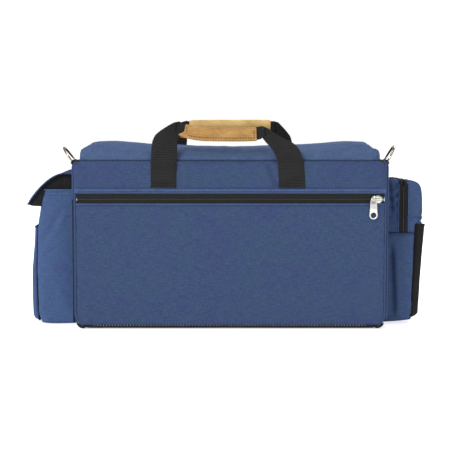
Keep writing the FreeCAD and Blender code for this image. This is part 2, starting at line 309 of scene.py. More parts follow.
# ---------------------------------------------------------------- materials
class Nodes:
    """A short way to write a node tree."""

    def __init__(self, name):
        self.m = bpy.data.materials.new(name)
        self.m.use_nodes = True
        self.t = self.m.node_tree
        self.t.nodes.clear()
        self.out = self.t.nodes.new("ShaderNodeOutputMaterial")
        self.bsdf = self.t.nodes.new("ShaderNodeBsdfPrincipled")
        self.t.links.new(self.bsdf.outputs[0], self.out.inputs[0])
        self.uv = self.t.nodes.new("ShaderNodeTexCoord").outputs["UV"]
        self.obj = self.t.nodes.new("ShaderNodeTexCoord").outputs["Object"]

    def link(self, a, b):
        if hasattr(a, "links"):
            self.t.links.new(a, b)
        else:
            b.default_value = a

    def math(self, op, a, b=0.0, c=None, clampit=False):
        n = self.t.nodes.new("ShaderNodeMath")
        n.operation = op
        n.use_clamp = clampit
        self.link(a, n.inputs[0])
        self.link(b, n.inputs[1])
        if c is not None:
            self.link(c, n.inputs[2])
        return n.outputs[0]

    def scale(self, vec, s):
        n = self.t.nodes.new("ShaderNodeMapping")
        n.inputs["Scale"].default_value = s
        self.link(vec, n.inputs["Vector"])
        return n.outputs[0]

    def noise(self, vec, s, detail=3.0, rough=0.55, dist=0.0):
        n = self.t.nodes.new("ShaderNodeTexNoise")
        n.inputs["Scale"].default_value = s
        n.inputs["Detail"].default_value = detail
        n.inputs["Roughness"].default_value = rough
        n.inputs["Distortion"].default_value = dist
        self.link(vec, n.inputs["Vector"])
        return n.outputs["Fac"]

    def xyz(self, vec):
        n = self.t.nodes.new("ShaderNodeSeparateXYZ")
        self.link(vec, n.inputs[0])
        return n.outputs

    def ramp(self, fac, stops):
        n = self.t.nodes.new("ShaderNodeValToRGB")
        e = n.color_ramp.elements
        while len(e) < len(stops):
            e.new(0.5)
        for k, (p, c) in enumerate(stops):
            e[k].position = p
            e[k].color = c if len(c) == 4 else tuple(c) + (1.0,)
        self.link(fac, n.inputs[0])
        return n.outputs[0]

    def mix(self, fac, a, b, mode="MIX"):
        n = self.t.nodes.new("ShaderNodeMix")
        n.data_type = "RGBA"
        n.blend_type = mode
        self.link(fac, n.inputs[0])
        self.link(a, n.inputs[6])
        self.link(b, n.inputs[7])
        return n.outputs[2]

    def bump(self, height, strength, dist, normal=None):
        n = self.t.nodes.new("ShaderNodeBump")
        n.inputs["Strength"].default_value = strength
        n.inputs["Distance"].default_value = dist
        self.link(height, n.inputs["Height"])
        if normal is not None:
            self.link(normal, n.inputs["Normal"])
        return n.outputs[0]

    def set(self, **kw):
        for k, v in kw.items():
            self.link(v, self.bsdf.inputs[k.replace("_", " ")])
        return self.m


def weave(n, pitch_u, pitch_v):
    """Height of a plain weave: threads pass over and under like a chequerboard."""
    u, v, _ = n.xyz(n.uv)
    a = n.math("SINE", n.math("MULTIPLY", u, math.pi / pitch_u))
    b = n.math("SINE", n.math("MULTIPLY", v, math.pi / pitch_v))
    return n.math("MULTIPLY_ADD", n.math("MULTIPLY", a, b), 0.5, 0.5)


def cordura(name, c1, c2, c3, pitch=0.00105, contrast=0.26, bump=0.5, sheen=0.25, slub_amount=2.3):
    n = Nodes(name)
    blot = n.noise(n.obj, 19, 3, 0.6, 0.6)
    blot2 = n.noise(n.scale(n.obj, (1.0, 1.0, 1.6)), 62, 2, 0.5)
    mixed = n.math("MULTIPLY_ADD", blot2, 0.45, n.math("MULTIPLY", blot, 0.55))
    col = n.ramp(mixed, [(0.36, lin(c2)), (0.5, lin(c1)), (0.64, lin(c3))])
    slub = n.noise(n.scale(n.uv, (170, 1150, 1)), 1.0, 3, 0.7)
    slub2 = n.noise(n.scale(n.uv, (1100, 210, 1)), 1.0, 2, 0.6)
    s = n.math("MULTIPLY_ADD", slub2, 0.38, n.math("MULTIPLY", slub, 0.62))
    w = weave(n, pitch, pitch)
    big_u = n.noise(n.scale(n.uv, (95, 760, 1)), 1.0, 4, 0.8)
    big_v = n.noise(n.scale(n.uv, (700, 120, 1)), 1.0, 4, 0.8)
    big = n.math("MULTIPLY_ADD", big_v, 0.42, n.math("MULTIPLY", big_u, 0.58))
    tone = n.math("MULTIPLY_ADD", n.math("SUBTRACT", s, 0.5), contrast * 3.4, n.math("MULTIPLY_ADD", w, contrast, 1.0 - contrast * 0.5))
    tone = n.math("MULTIPLY_ADD", n.math("SUBTRACT", big, 0.5), slub_amount, tone)
    n1 = n.t.nodes.new("ShaderNodeVectorMath")
    n1.operation = "SCALE"
    n.link(col, n1.inputs[0])
    n.link(tone, n1.inputs["Scale"])
    h = n.math("MULTIPLY_ADD", s, 0.9, w)
    nor = n.bump(h, bump, 0.00022)
    n.set(Base_Color=n1.outputs[0], Roughness=n.math("MULTIPLY_ADD", s, -0.12, 0.93), Normal=nor)
    n.bsdf.inputs["Specular IOR Level"].default_value = 0.18
    n.bsdf.inputs["Sheen Weight"].default_value = sheen
    n.bsdf.inputs["Sheen Roughness"].default_value = 0.55
    n.bsdf.inputs["Sheen Tint"].default_value = lin([min(255, v * 1.7) for v in c1])
    return n.m


BLUE = cordura("blue_cordura", (47, 62, 92.5), (46.5, 58, 92.5), (46, 64, 89))
# a somewhat lighter copy of the cloth for the front hem strip and the right pocket, for the light that falls on them:
# painted light
BLUE_HALF_LIT = cordura("blue_cordura_half_lit", (52, 69, 102), (51, 64, 102), (51, 71, 98))
# a lighter copy of the cloth for the lid, whose top and rounded near edge face the top light: painted light
BLUE_LID_LIT = cordura("blue_cordura_lid_lit", (60, 77, 108), (59, 73, 107), (59, 79, 105))
BLUE_LIT = cordura("blue_cordura_lit", (57, 76, 113), (56, 71, 111), (57, 78, 111))
# near-black navy, darkened to paint in the shade at the left pocket's root: painted shade
BLUE_SHADE = cordura("blue_cordura_piping_shade", (17, 24, 42), (17, 23, 42), (16, 25, 41), contrast=0.2)
# a darker copy of the cloth for seam lines and the gaps beside them: partly the seams' own darker line, partly painted
# shade
BLUE_DARK = cordura("blue_cordura_seam_shade", (30, 42, 68), (31, 41, 68), (29, 44, 67), contrast=0.2)
# a lighter copy of the cloth for rolled hems, beads and folded edges, where they catch the light: painted highlight
BLUE_EDGE_LIT = cordura("blue_cordura_edge_lit", (62, 82, 120), (61, 78, 119), (61, 85, 118), contrast=0.2)
BLACKF = cordura("black_nylon", (24, 24, 26), (22, 22, 25), (28, 28, 30), contrast=0.2, sheen=0.08)
LINING = cordura("lining_nylon", (40, 42, 48), (37, 39, 46), (43, 45, 50), pitch=0.0006, contrast=0.12, bump=0.25, sheen=0.1)


def webbing_material():
    n = Nodes("black_webbing")
    u, v, _ = n.xyz(n.uv)
    # ribs run across the strap, with a slanting twill inside each
    rib = n.math("SINE", n.math("ADD", n.math("MULTIPLY", v, 2 * math.pi / 0.0024), n.math("MULTIPLY", n.math("SINE", n.math("MULTIPLY", u, 2 * math.pi / 0.0062)), 0.9)))
    tw = n.math("SINE", n.math("ADD", n.math("MULTIPLY", u, 2 * math.pi / 0.0014), n.math("MULTIPLY", v, 2 * math.pi / 0.0030)))
    h = n.math("MULTIPLY_ADD", tw, 0.4, rib)
    sl = n.noise(n.scale(n.uv, (500, 900, 1)), 1.0, 2)
    big = n.noise(n.obj, 45, 2)
    tone = n.math("MULTIPLY_ADD", h, 0.2, n.math("MULTIPLY_ADD", sl, 0.6, n.math("MULTIPLY_ADD", big, 0.4, 0.02)))
    col = n.ramp(tone, [(0.15, lin((4, 4, 5))), (0.85, lin((46, 46, 47)))])
    n.set(Base_Color=col, Roughness=0.8, Normal=n.bump(h, 1.0, 0.0005))
    n.bsdf.inputs["Specular IOR Level"].default_value = 0.14
    n.bsdf.inputs["Sheen Weight"].default_value = 0.04
    return n.m


WEB = webbing_material()


def suede_material(name, dark, mid, light):
    n = Nodes(name)
    a = n.noise(n.scale(n.obj, (1, 1.2, 1.8)), 55, 4, 0.6, 0.8)
    b = n.noise(n.obj, 900, 3, 0.7)
    f = n.math("MULTIPLY_ADD", b, 0.34, n.math("MULTIPLY", a, 0.66))
    col = n.ramp(f, [(0.3, lin(dark)), (0.5, lin(mid)), (0.7, lin(light))])
    grain = n.noise(n.scale(n.obj, (1, 1, 1.6)), 1500, 2, 0.6)
    nor = n.bump(n.math("MULTIPLY_ADD", a, 0.8, grain), 0.35, 0.0003)
    n.set(Base_Color=col, Roughness=n.math("MULTIPLY_ADD", b, 0.2, 0.74), Normal=nor)
    n.bsdf.inputs["Specular IOR Level"].default_value = 0.22
    n.bsdf.inputs["Sheen Weight"].default_value = 0.45
    n.bsdf.inputs["Sheen Roughness"].default_value = 0.45
    n.bsdf.inputs["Sheen Tint"].default_value = lin((235, 205, 150))
    return n.m


SUEDE = suede_material("tan_suede", (124, 91, 49), (152, 116, 67), (177, 143, 88))
# a paler copy of the suede for the far grip, whose top faces the light: painted light
SUEDE_LIT = suede_material("tan_suede_lit", (168, 136, 82), (191, 157, 99), (208, 177, 119))
SUEDE_EDGE = suede_material("tan_suede_edge", (104, 66, 32), (128, 84, 44), (150, 104, 58))


def tape_material():
    n = Nodes("zip_tape")
    u, v, _ = n.xyz(n.uv)
    her = n.math("SINE", n.math("ADD", n.math("MULTIPLY", u, 2 * math.pi / 0.0011), n.math("MULTIPLY", v, 2 * math.pi / 0.0016)))
    sl = n.noise(n.scale(n.uv, (900, 900, 1)), 1.0, 2)
    col = n.ramp(n.math("MULTIPLY_ADD", her, 0.12, sl), [(0.3, lin((12, 12, 13))), (0.7, lin((30, 30, 31)))])
    n.set(Base_Color=col, Roughness=0.72, Normal=n.bump(n.math("MULTIPLY_ADD", her, 0.5, sl), 0.5, 0.00016))
    n.bsdf.inputs["Specular IOR Level"].default_value = 0.18
    return n.m


TAPE = tape_material()


def plain(name, c, rough, metal=0.0, noise_scale=300, vary=0.12, bump=0.1, dist=0.0001, spec=0.5):
    n = Nodes(name)
    f = n.noise(n.obj, noise_scale, 3)
    g = n.noise(n.obj, noise_scale * 0.12, 3)
    lo = tuple(v * (1 - vary) for v in c)
    hi = tuple(min(255, v * (1 + vary)) for v in c)
    col = n.ramp(n.math("MULTIPLY_ADD", g, 0.5, n.math("MULTIPLY", f, 0.5)), [(0.35, lin(lo)), (0.65, lin(hi))])
    n.set(Base_Color=col, Roughness=n.math("MULTIPLY_ADD", f, rough * 0.5, rough * 0.75), Metallic=metal, Normal=n.bump(f, bump, dist))
    n.bsdf.inputs["Specular IOR Level"].default_value = spec
    return n.m


NICKEL = plain("nickel_plate", (206, 205, 200), 0.26, 1.0, 700, 0.05, 0.12, 0.00004)
CHROME = plain("chrome_wire", (168, 158, 148), 0.12, 1.0, 500, 0.05, 0.05, 0.00003)
COIL = plain("nylon_coil", (38, 38, 40), 0.4, 0.0, 900, 0.15, 0.2)
THREAD_NAVY = plain("thread_navy", (18, 25, 46), 0.8, 0, 1500, 0.15, 0.3)
THREAD_BLUE = plain("thread_blue", (104, 126, 164), 0.8, 0, 1500, 0.15, 0.3)
THREAD_BROWN = plain("thread_brown", (78, 46, 20), 0.8, 0, 1500, 0.2, 0.3)
THREAD_WHITE = plain("thread_white", (196, 200, 206), 0.8, 0, 1500, 0.1, 0.3)
THREAD_BLACK = plain("thread_black", (24, 24, 26), 0.7, 0, 1500, 0.2, 0.3)
BOARD = plain("hidden_board", (36, 36, 38), 0.6, 0, 200)
FOAMM = plain("foam", (70, 70, 74), 0.9, 0, 900, 0.12, 0.5, 0.0004, 0.2)


def hook_material():
    n = Nodes("hook_and_loop")
    f = n.noise(n.obj, 1400, 3, 0.7)
    col = n.ramp(f, [(0.35, lin((14, 14, 15))), (0.65, lin((44, 44, 46)))])
    n.set(Base_Color=col, Roughness=0.95, Normal=n.bump(f, 1.0, 0.0006))
    n.bsdf.inputs["Sheen Weight"].default_value = 0.4
    return n.m


HOOK = hook_material()

# --------------------------------------------------------------------- body
X, Y, Z = (1, 0, 0), (0, 1, 0), (0, 0, 1)


def front_bulge(x, z):
    """The filled document pocket: a low crown, with slack that gathers above the base."""
    c = 3.0 * math.sin(math.pi * clamp((x + 218) / 436)) ** 0.8 * math.sin(math.pi * clamp(z / 178)) ** 0.8
    f = 1.15 * fbm(x, 0, z * 1.5, 95, 1.0) + 0.35 * fbm(x, 0, z, 24, 2.0)
    pull = 0.9 * gauss(z - 14, 11) * nz(x, 0, z, 46, 5.0)
    ripple = 0.5 * gauss(z - 166, 13) * math.sin(x / 9.0 + 2.0 * nz(x, 0, 0, 50, 3.0)) * S(-0.3, 0.6, nz(x, 0, 0, 80, 9.0))
    groove = -1.0 * gauss(z - 174.3, 1.5)
    side = -0.6 * (gauss(x + 213.2, 1.4) + gauss(x - 213.2, 1.4))
    diag = 0.8 * gauss((x + 190) * 0.7 - (z - 20) * 0.35, 14) * S(120, 20, z)
    return c + f + pull + ripple + groove + side + diag


panel("front_pocket_face", (0, -115.2, 0), X, Z, (0, -1, 0), -217.4, 217.4, 3.2, 177.6, 1.5, 3.2, BLUE, "root",
      ("front_pocket_panel", "front_pocket_lining", "front_wall_foam"), radii=(17, 17, 1.5, 1.5), na=150, nb=66, bulge=front_bulge, slot="blue_fabric")


def band_bulge(x, z):
    pad = 3.4 * math.sin(math.pi * clamp((z - 197) / 45)) ** 0.7 if z > 197 else 0.0
    pad *= 1 - 0.5 * gauss(x + 94, 26) - 0.55 * gauss(x - 87, 26)
    rows = -1.1 * gauss(z - 198.9, 1.4) + 0.7 * gauss(z - 196.2, 1.5) - 0.9 * gauss(z - 193.6, 1.1)
    # soft upright pulls below the lid, beside the handle's feet
    pulls = sum(0.55 * gauss(x - c - 0.12 * (z - 215), 5.0) - 0.5 * gauss(x - c - 9 - 0.12 * (z - 215), 5.0) for c in (-62, -44, 40, 118, 146)) * S(198, 206, z) * S(236, 226, z)
    fx = 51.5 + 15.5 * clamp((235 - z) / 35)
    pulls += (-3.4 * gauss(x - fx, 3.0) + 1.5 * gauss(x - fx + 7.5, 4.5)) * S(198, 203, z) * S(237, 230, z)
    pulls += (-2.2 * gauss(x + 71.5, 3.0) + 0.8 * gauss(x + 64, 4.0)) * S(198, 203, z) * S(237, 232, z)
    return pad + rows + pulls + 0.7 * fbm(x, 0, z * 1.3, 60, 4.0) + 0.25 * fbm(x, 0, z, 18, 6.0)


panel("front_band_face", (0, -115.2, 0), X, Z, (0, -1, 0), -219.6, 219.6, 191.0, 237.0, 1.9, 3.0, BLUE, "root",
      ("front_upper_band", "front_band_pad"), radii=(1, 1, 11, 12), na=150, nb=26, bulge=band_bulge, slot="blue_fabric")


def back_bulge(x, z):
    c = 3.4 * math.sin(math.pi * clamp((x + 218) / 436)) ** 0.8 * math.sin(math.pi * clamp(z / 190)) ** 0.8
    return c + 1.1 * fbm(x, 3, z * 1.4, 95, 11.0) + 0.3 * fbm(x, 0, z, 24, 12.0) - 0.7 * gauss(z - 187.0, 1.3) - 0.6 * (gauss(x + 213.2, 1.4) + gauss(x - 213.2, 1.4))


panel("back_face", (0, 115.2, 0), X, Z, Y, -217.4, 217.4, 3.2, 190.6, 1.5, 3.2, BLUE, "root",
      ("back_panel", "back_wall_foam"), radii=(17, 17, 1.5, 1.5), na=110, nb=56, bulge=back_bulge, slot="blue_fabric")
panel("back_band_face", (0, 115.0, 0), X, Z, Y, -219.6, 219.6, 191.0, 235.4, 0.5, 3.0, BLUE, "root",
      ("back_upper_band",), radii=(1, 1, 10, 10), na=110, nb=22, slot="blue_fabric",
      bulge=lambda x, z: 0.3 * fbm(x, 3, z, 50, 13.0) - 0.5 * gauss(z - 199, 1.1) - 0.5 * gauss(z - 193.6, 0.9))


def end_bulge(y, z, seed):
    return 0.8 * fbm(0, y, z, 70, seed) + 1.2 * math.sin(math.pi * clamp((y + 115) / 230)) * math.sin(math.pi * clamp(z / 236))


for side, sg in (("left", -1), ("right", 1)):
    panel(side + "_end", (sg * 216.2, 0, 0), (0, -sg, 0), Z, (sg, 0, 0), -115.6, 115.6, 2.6, 236.6, 7.6, 13.0, BLUE, "root",
          (side + "_gusset", side + "_wall_foam"), radii=(9, 9, 10, 10), na=46, nb=50,
          bulge=lambda a, b, s=sg: end_bulge(a, b, 20.0 + s), slot="blue_fabric")

# corded seam between the front and back faces and the ends
def seam_path(y, top, inset=0.0):
    pts = [(-218.2 + inset, y, top)]
    pts += [(-218.2 + inset, y, z) for z in (190, 150, 100, 60, 24)]
    pts += [(-218.2 + 17 - 17 * math.cos(a), y, 3.4 + 17 - 17 * math.sin(a)) for a in (0.3, 0.6, 0.9, 1.2, 1.45)]
    return pts


for side, y in (("front", -115.9), ("back", 115.9)):
    for k, sg in (("left", -1), ("right", 1)):
        pts = [Vector((-sg * p[0], p[1], p[2])) for p in seam_path(y, 233.5)]
        pts = resample(pts, 120, 1)
        pts = [p + Vector((0.18 * nz(0, 0, p.z, 14, sg), 0.15 * nz(0, 1, p.z, 17, sg), 0)) for p in pts]
        tube("%s_%s_seam_cord" % (side, k), pts, 1.45, BLUE, "root", n=10)
        # the needle line beside the cord, a dark tube that paints in the shade of the seam
        pts2 = [Vector((p.x - sg * 2.0 if p.z > 20 else p.x * 0.9925, p.y + (0.25 if y < 0 else -0.25), p.z if p.z > 20 else p.z + 1.2)) for p in pts]
        tube("%s_%s_seam_fold_shade" % (side, k), pts2, 0.75, BLUE_DARK, "root", n=8)
        # a dark tube on the cord's other side: a painted shadow
        pts3 = [Vector((p.x + sg * 1.9, p.y + (1.7 if y < 0 else -1.7), p.z)) for p in pts]
        tube("%s_%s_seam_shadow" % (side, k), pts3, 0.8, BLUE_DARK, "root", n=8)

# base: a black tray whose edge shows below the faces, with its binding and thread
panel("base_tray", (0, 0, 4.6), X, (0, -1, 0), (0, 0, -1), -218.6, 218.6, -116.2, 116.2, 4.4, 5.0, BLACKF, "root",
      ("base_panel", "base_board"), radii=(17, 17, 17, 17), na=70, nb=40, bulge=lambda a, b: -0.35 * abs(fbm(a, b, 0, 60, 31.0)), slot="black_fabric")


def ring_pts(hx, hy, r, z, n=16, wob=0.0, seed=0):
    pts = []
    for cx, cy, a0 in ((hx - r, hy - r, 0), (-hx + r, hy - r, 90), (-hx + r, -hy + r, 180), (hx - r, -hy + r, 270)):
        for k in range(n + 1):
            a = math.radians(a0 + 90 * k / n)
            pts.append(Vector((cx + r * math.cos(a), cy + r * math.sin(a), z)))
    out = []
    for a, b in zip(pts, pts[1:] + pts[:1]):
        k = max(1, int((b - a).length / 8))
        out += [a.lerp(b, i / k) for i in range(k)]
    return [p + Vector((0, 0, wob * nz(p.x, p.y, 0, 40, seed))) for p in out]


tube("base_piping_cord", ring_pts(219.4, 117.0, 17, 3.6, wob=0.3, seed=3), 2.0, BLACKF, "root", ("base_piping",), closed=True, n=12, slot="piping")
lift = [Vector((p.x * 1.004, p.y * 1.009, p.z + 1.75)) for p in ring_pts(219.4, 117.0, 17, 3.6)]
front_row = [p for p in lift if p.y < -100 and abs(p.x) < 202]
front_row = sorted(front_row, key=lambda p: p.x)
stitches("base_thread", [front_row], THREAD_WHITE, "root", 1.5, 2.7, 0.55, 0.45)
# black patches that cover the lower corners
for sg in (-1, 1):
    for yy in (-116.7, 116.7):
        prof = [(sg * (219.0 - 15 + 15.6 * math.cos(a)), yy, 17.0 - 15.4 * math.sin(a)) for a in [0.62 + 0.15 * i for i in range(7)]]
        sweep("base_corner_%s_%s" % ("left" if sg < 0 else "right", "front" if yy < 0 else "back"), resample([Vector(p) for p in prof], 24, 1),
              [(-1.4, -0.9), (1.2, -0.9), (1.7, 0.0), (1.2, 0.9), (-1.4, 0.9), (-1.9, 0)], BLACKF, "root", up=Vector((0, 1, 0)),
              scale=lambda u: (0.35 + 0.75 * math.sin(math.pi * clamp(u * 0.9 + 0.08)), 1.0))


def round_base(names):
    """The two lower end edges turn up: the base narrows and lifts towards them."""
    for nm in names:
        for v in bpy.data.objects[nm].data.vertices:
            x, z = v.co.x * 1000, v.co.z * 1000
            e = clamp((abs(x) - 200) / 20)
            if e > 0 and z < 26:
                v.co.z += 0.001 * 8.0 * e ** 2.2 * (1 - clamp(z / 26)) ** 1.5
                v.co.x -= math.copysign(0.001 * 5.5 * e * (1 - clamp(z / 22)) ** 2, x)


round_base(["left_end", "right_end", "base_tray", "base_piping_cord", "base_thread"])

# ------------------------------------------------------------ front zip
for nm, z0, z1, node in (("lower", 176.6, 183.05, ("front_zip_tape_lower", "front_zip_coil_lower")), ("upper", 183.75, 192.2, ("front_zip_tape_upper", "front_zip_coil_upper"))):
    panel("front_zip_tape_%s_face" % nm, (0, -114.9, 0), X, Z, (0, -1, 0), -219.4, 217.6, z0, z1, 0.55, 0.9, TAPE, "root", node, na=120, nb=8,
          bulge=lambda x, z: 0.10 * nz(x, 0, z, 20, 8.0) - 0.12 * gauss(abs(z - 183.4) - 2.4, 0.4), slot="zip_tape")
tube("front_zip_centre", [(-218 + i * 3.0, -115.05, 183.4) for i in range(146)], 0.42, COIL, "root", n=6, slot="zip_coil")
tube("front_zip_stop_left", [(-215.2, -115.5, 181.4), (-215.2, -115.9, 182.2), (-215.2, -115.9, 184.6), (-215.2, -115.5, 185.4)], 0.5, NICKEL, "root", ("front_zip_stops",), n=8, slot="nickel")
tube("front_zip_stop_right", [(215.9, -115.5, 180.4), (215.9, -116.1, 181.2), (215.9, -116.1, 185.6), (215.9, -115.5, 186.4)], 0.7, NICKEL, "root", n=8)


def on_band(x, z):
    return Vector((x, -115.2 - 1.9 - band_bulge(x, z) - 0.05, z))


def on_front(x, z):
    return Vector((x, -115.2 - 1.5 - front_bulge(x, z) - 0.05, z))


xs = [-214 + i * 4.0 for i in range(108)]
panel("band_hem_strip", (0, -116.7, 0), X, Z, (0, -1, 0), -219.2, 218.4, 192.1, 198.4, 1.1, 1.0, BLUE_LIT, "root", na=110, nb=6, bulge=lambda x, z: 0.35 * gauss(z - 196.4, 1.3) - 0.5 * gauss(z - 193.9, 0.8) + 0.12 * fbm(x, 0, z, 15, 6.5))
panel("front_hem_strip", (0, -116.5, 0), X, Z, (0, -1, 0), -216.6, 216.6, 174.9, 177.7, 0.9, 0.8, BLUE_HALF_LIT, "root", na=110, nb=3, bulge=lambda x, z: 0.12 * fbm(x, 0, z, 15, 6.7))
stitches("band_thread", [[on_band(x, 199.1) for x in xs], [Vector((x, -117.95 - 0.12 * fbm(x, 0, 193.9, 15, 6.5), 193.9)) for x in xs]], THREAD_NAVY, "root", 2.4, 1.8, 1.4, 1.1)
stitches("front_face_thread", [[on_front(x, 174.3) for x in xs]], THREAD_NAVY, "root", 2.4, 1.8, 1.25, 1.0)

# --------------------------------------------------- inside the compartment
for nm, a in (("front", (-217, 217, -113.4, -94.5)), ("back", (-217, 217, 103.4, 113.6)), ("left", (-218.4, -209.4, -94.0, 103.0)), ("right", (209.4, 218.4, -94.0, 103.0))):
    panel("rim_binding_" + nm, (0, 0, 233.6), X, Y, Z, a[0], a[1], a[2], a[3], 2.1, 3.0, BLACKF, "root", ("rim_binding",) if nm == "front" else (), na=60 if nm in ("front", "back") else 6, nb=6 if nm in ("front", "back") else 40,
          bulge=lambda x, y: 0.12 * nz(x, y, 0, 25, 3.0), slot="black_fabric")


def tub(name, path, zs, thick, mat, body, nodes=(), shape=None, floor=True, closed=True, **kw):
    """A sewn wall round a path, from zs[0] up to zs[-1], with a floor. shape(x, y, z, nx, ny) gives the outward shift of its outer face."""
    n = len(path)
    verts, faces = [], []
    nor = []
    for i in range(n):
        a = path[(i - 1) % n] if closed or i else path[0]
        b = path[(i + 1) % n] if closed or i < n - 1 else path[-1]
        d = Vector((b[0] - a[0], b[1] - a[1], 0)).normalized()
        nor.append(Vector((d.y, -d.x, 0)))
    for layer in (0.0, thick):
        for row, z in enumerate(zs):
            for (x, y), m in zip(path, nor):
                s = shape(x, y, z, m.x, m.y) if shape else 0.0
                verts.append(Vector((x, y, z + (thick if floor and layer and not row else 0.0))) + m * (s - layer))
    k = len(zs)
    off = n * k
    span = n if closed else n - 1
    for j in range(k - 1):
        for i in range(span):
            a, b = j * n + i, j * n + (i + 1) % n
            faces.append((a, b, b + n, a + n))
            faces.append((off + a, off + a + n, off + b + n, off + b))
    for i in range(span):
        for j in (0, k - 1):
            a, b = j * n + i, j * n + (i + 1) % n
            if j == k - 1 or not floor:
                faces.append((a, b, off + b, off + a))
    if floor:
        faces.append(tuple(range(n)))
        faces.append(tuple(off + i for i in range(n)))
        if not closed:
            faces.append((0, n - 1, off + n - 1, off))
    if not closed:
        for j in range(k - 1):
            for i in (0, n - 1):
                a = j * n + i
                faces.append((a, a + n, off + a + n, off + a))
    return finish_mesh(name, verts, faces, mat, body, nodes, **kw)


inner = [(p.x, p.y + 4.5) for p in ring_pts(210.6, 100.0, 12, 0, 8)]
tub("compartment_lining", inner, [6 + 228 * i / 30 for i in range(31)], 0.9, LINING, "root", ("main_lining",),
    shape=lambda x, y, z, nx, ny: -0.9 + 0.8 * fbm(x, y, z, 55, 41.0) * S(234, 215, z) * S(6, 20, z), slot="lining")
panel("padded_divider_cover", (58.6, 0, 0), Y, Z, (-1, 0, 0), -93.5, 102.5, 7.2, 176, 0.6, 3.5, LINING, "root", ("padded_divider",), radii=(4, 4, 10, 10), na=24, nb=22,
      bulge=lambda a, b: 0.0)
d = panel("padded_divider_face", (58.8, 0, 0), Y, Z, X, -93.5, 102.5, 7.2, 176, 6.6, 3.5, LINING, "root", radii=(4, 4, 10, 10), na=30, nb=26,
          bulge=lambda a, b: 0.5 * fbm(0, a, b, 40, 51.0))
for z in (168.5,):
    stitches("divider_thread", [[(65.9 + 0.5 * fbm(0, a, z, 40, 51.0), a, z) for a in range(-86, 98, 4)]], THREAD_BLACK, "root", 2.4, 1.4, 0.7, 0.5, (1, 0, 0))

# ---------------------------------------------------------------------- lid
def lid_top(x, y):
    """Height of the lid's padded top: raised towards both ends, sagging in the middle, with a lower shoulder at the ends."""
    ends = interp([(-212, 0.8), (-190, 1.0), (-176, 1.0), (-150, 0.72), (-122, 0.38), (-80, 0.12), (-52, -0.16), (0, -0.24), (34, -0.18), (60, 0.0), (80, 0.08), (120, 0.3), (150, 0.68), (176, 1.0), (190, 0.95), (212, 0.8)], x)
    z = 255.0 + 7.2 * ends - (1.3 + 1.0 * ends) * (1 + y / 113.0)
    z += 0.9 * fbm(x, y, 0, 75, 61.0) + 0.3 * fbm(x, y, 0, 26, 62.0)
    # the middle is a little lower across the depth too
    z -= 1.2 * math.sin(math.pi * clamp((y + 113) / 226)) * (1 - ends)
    return z


def lid_cover():
    x0, x1, hy, r = -212.4, 211.4, 112.6, 13.0
    us = spread(96, 16, x1 - x0)
    vs = spread(50, 16, 2 * hy)
    verts, faces = [], []
    m, k = len(us), len(vs)

    def inset(rr, d):
        return rr - math.sqrt(max(0.0, rr * rr - (rr - d) ** 2)) if d < rr else 0.0

    for v in vs:
        y = -hy + v
        cut = inset(r, min(v, 2 * hy - v))
        lo, hi = x0 + cut, x1 - cut
        for u in us:
            x = lo + (u / (x1 - x0)) * (hi - lo)
            dx, dy = min(x - lo, hi - x), min(v, 2 * hy - v)
            top = lid_top(x, y)
            shoulder = (254.2 if x < 0 else 253.2) + 0.7 * fbm(x, y, 0, 40, 63.0)
            # near and far edges roll straight up to the top; the ends go over a shoulder first
            ry = max(0.0, 1 - (1 - clamp(dy / (34.0 - 17.0 * (1 - S(10, 60, dx))))) ** 2.7) ** 0.56
            rx = math.sqrt(max(0.0, 1 - (1 - clamp(dx / 4.6)) ** 2))
            rise = S(6.0 if x < 0 else 7.0, 14.5 if x < 0 else 16.0, dx + 1.2 * nz(0, y, 0, 40, 64.0))
            zx = 240.0 + (shoulder - 240.0) * rx + (top - shoulder) * rise
            zy = 240.0 + (top - 240.0) * ry
            z = min(zx, zy) if dx < 30 or dy < 35 else top
            # blend softly where the two rolls meet
            if dx < 34 and dy < 38:
                q = 1.5
                z = -q * math.log(math.exp(-zx / q + 165) + math.exp(-zy / q + 165)) + q * 165
            # a shallow needle line round the pad's ends
            z -= 0.5 * gauss(dx - 9.0, 1.6) * S(6, 14, dy)
            verts.append(Vector((x, y, z)))
    for j in range(k - 1):
        for i in range(m - 1):
            q = j * m + i
            faces.append((q, q + 1, q + m + 1, q + m))
    loop = [i for i in range(m)] + [j * m + m - 1 for j in range(1, k)] + [(k - 1) * m + i for i in range(m - 2, -1, -1)] + [j * m for j in range(k - 2, 0, -1)]
    L = len(loop)
    prev = loop
    # the skirt below the roll: it bellies a little and turns under at its hem
    for dz, out in ((-0.9, 0.25), (-1.9, 0.3), (-2.9, 0.1), (-3.3, -0.5), (-3.1, -2.4), (-1.3, -3.2)):
        ids = []
        for q in loop:
            p = verts[q]
            n = Vector((clamp((p.x + 0.4) / 212.0, -1, 1) ** 9, clamp(p.y / 113.0, -1, 1) ** 9, 0))
            w = 0.35 * nz(p.x, p.y, 0, 30, 66.0)
            ids.append(len(verts))
            verts.append(Vector((p.x, p.y, 240.0)) + n * (out + w * 0.5) + Vector((0, 0, dz)))
        for i in range(L):
            faces.append((prev[i], prev[(i + 1) % L], ids[(i + 1) % L], ids[i]))
        prev = ids
    faces.append(tuple(prev))
    # the lid is clothed in the lighter copy of the cloth: painted light from above
    return finish_mesh("lid_cover", verts, faces, BLUE_LID_LIT, "lid", ("lid_shell", "lid_pad"), slot="blue_fabric")


lid = lid_cover()


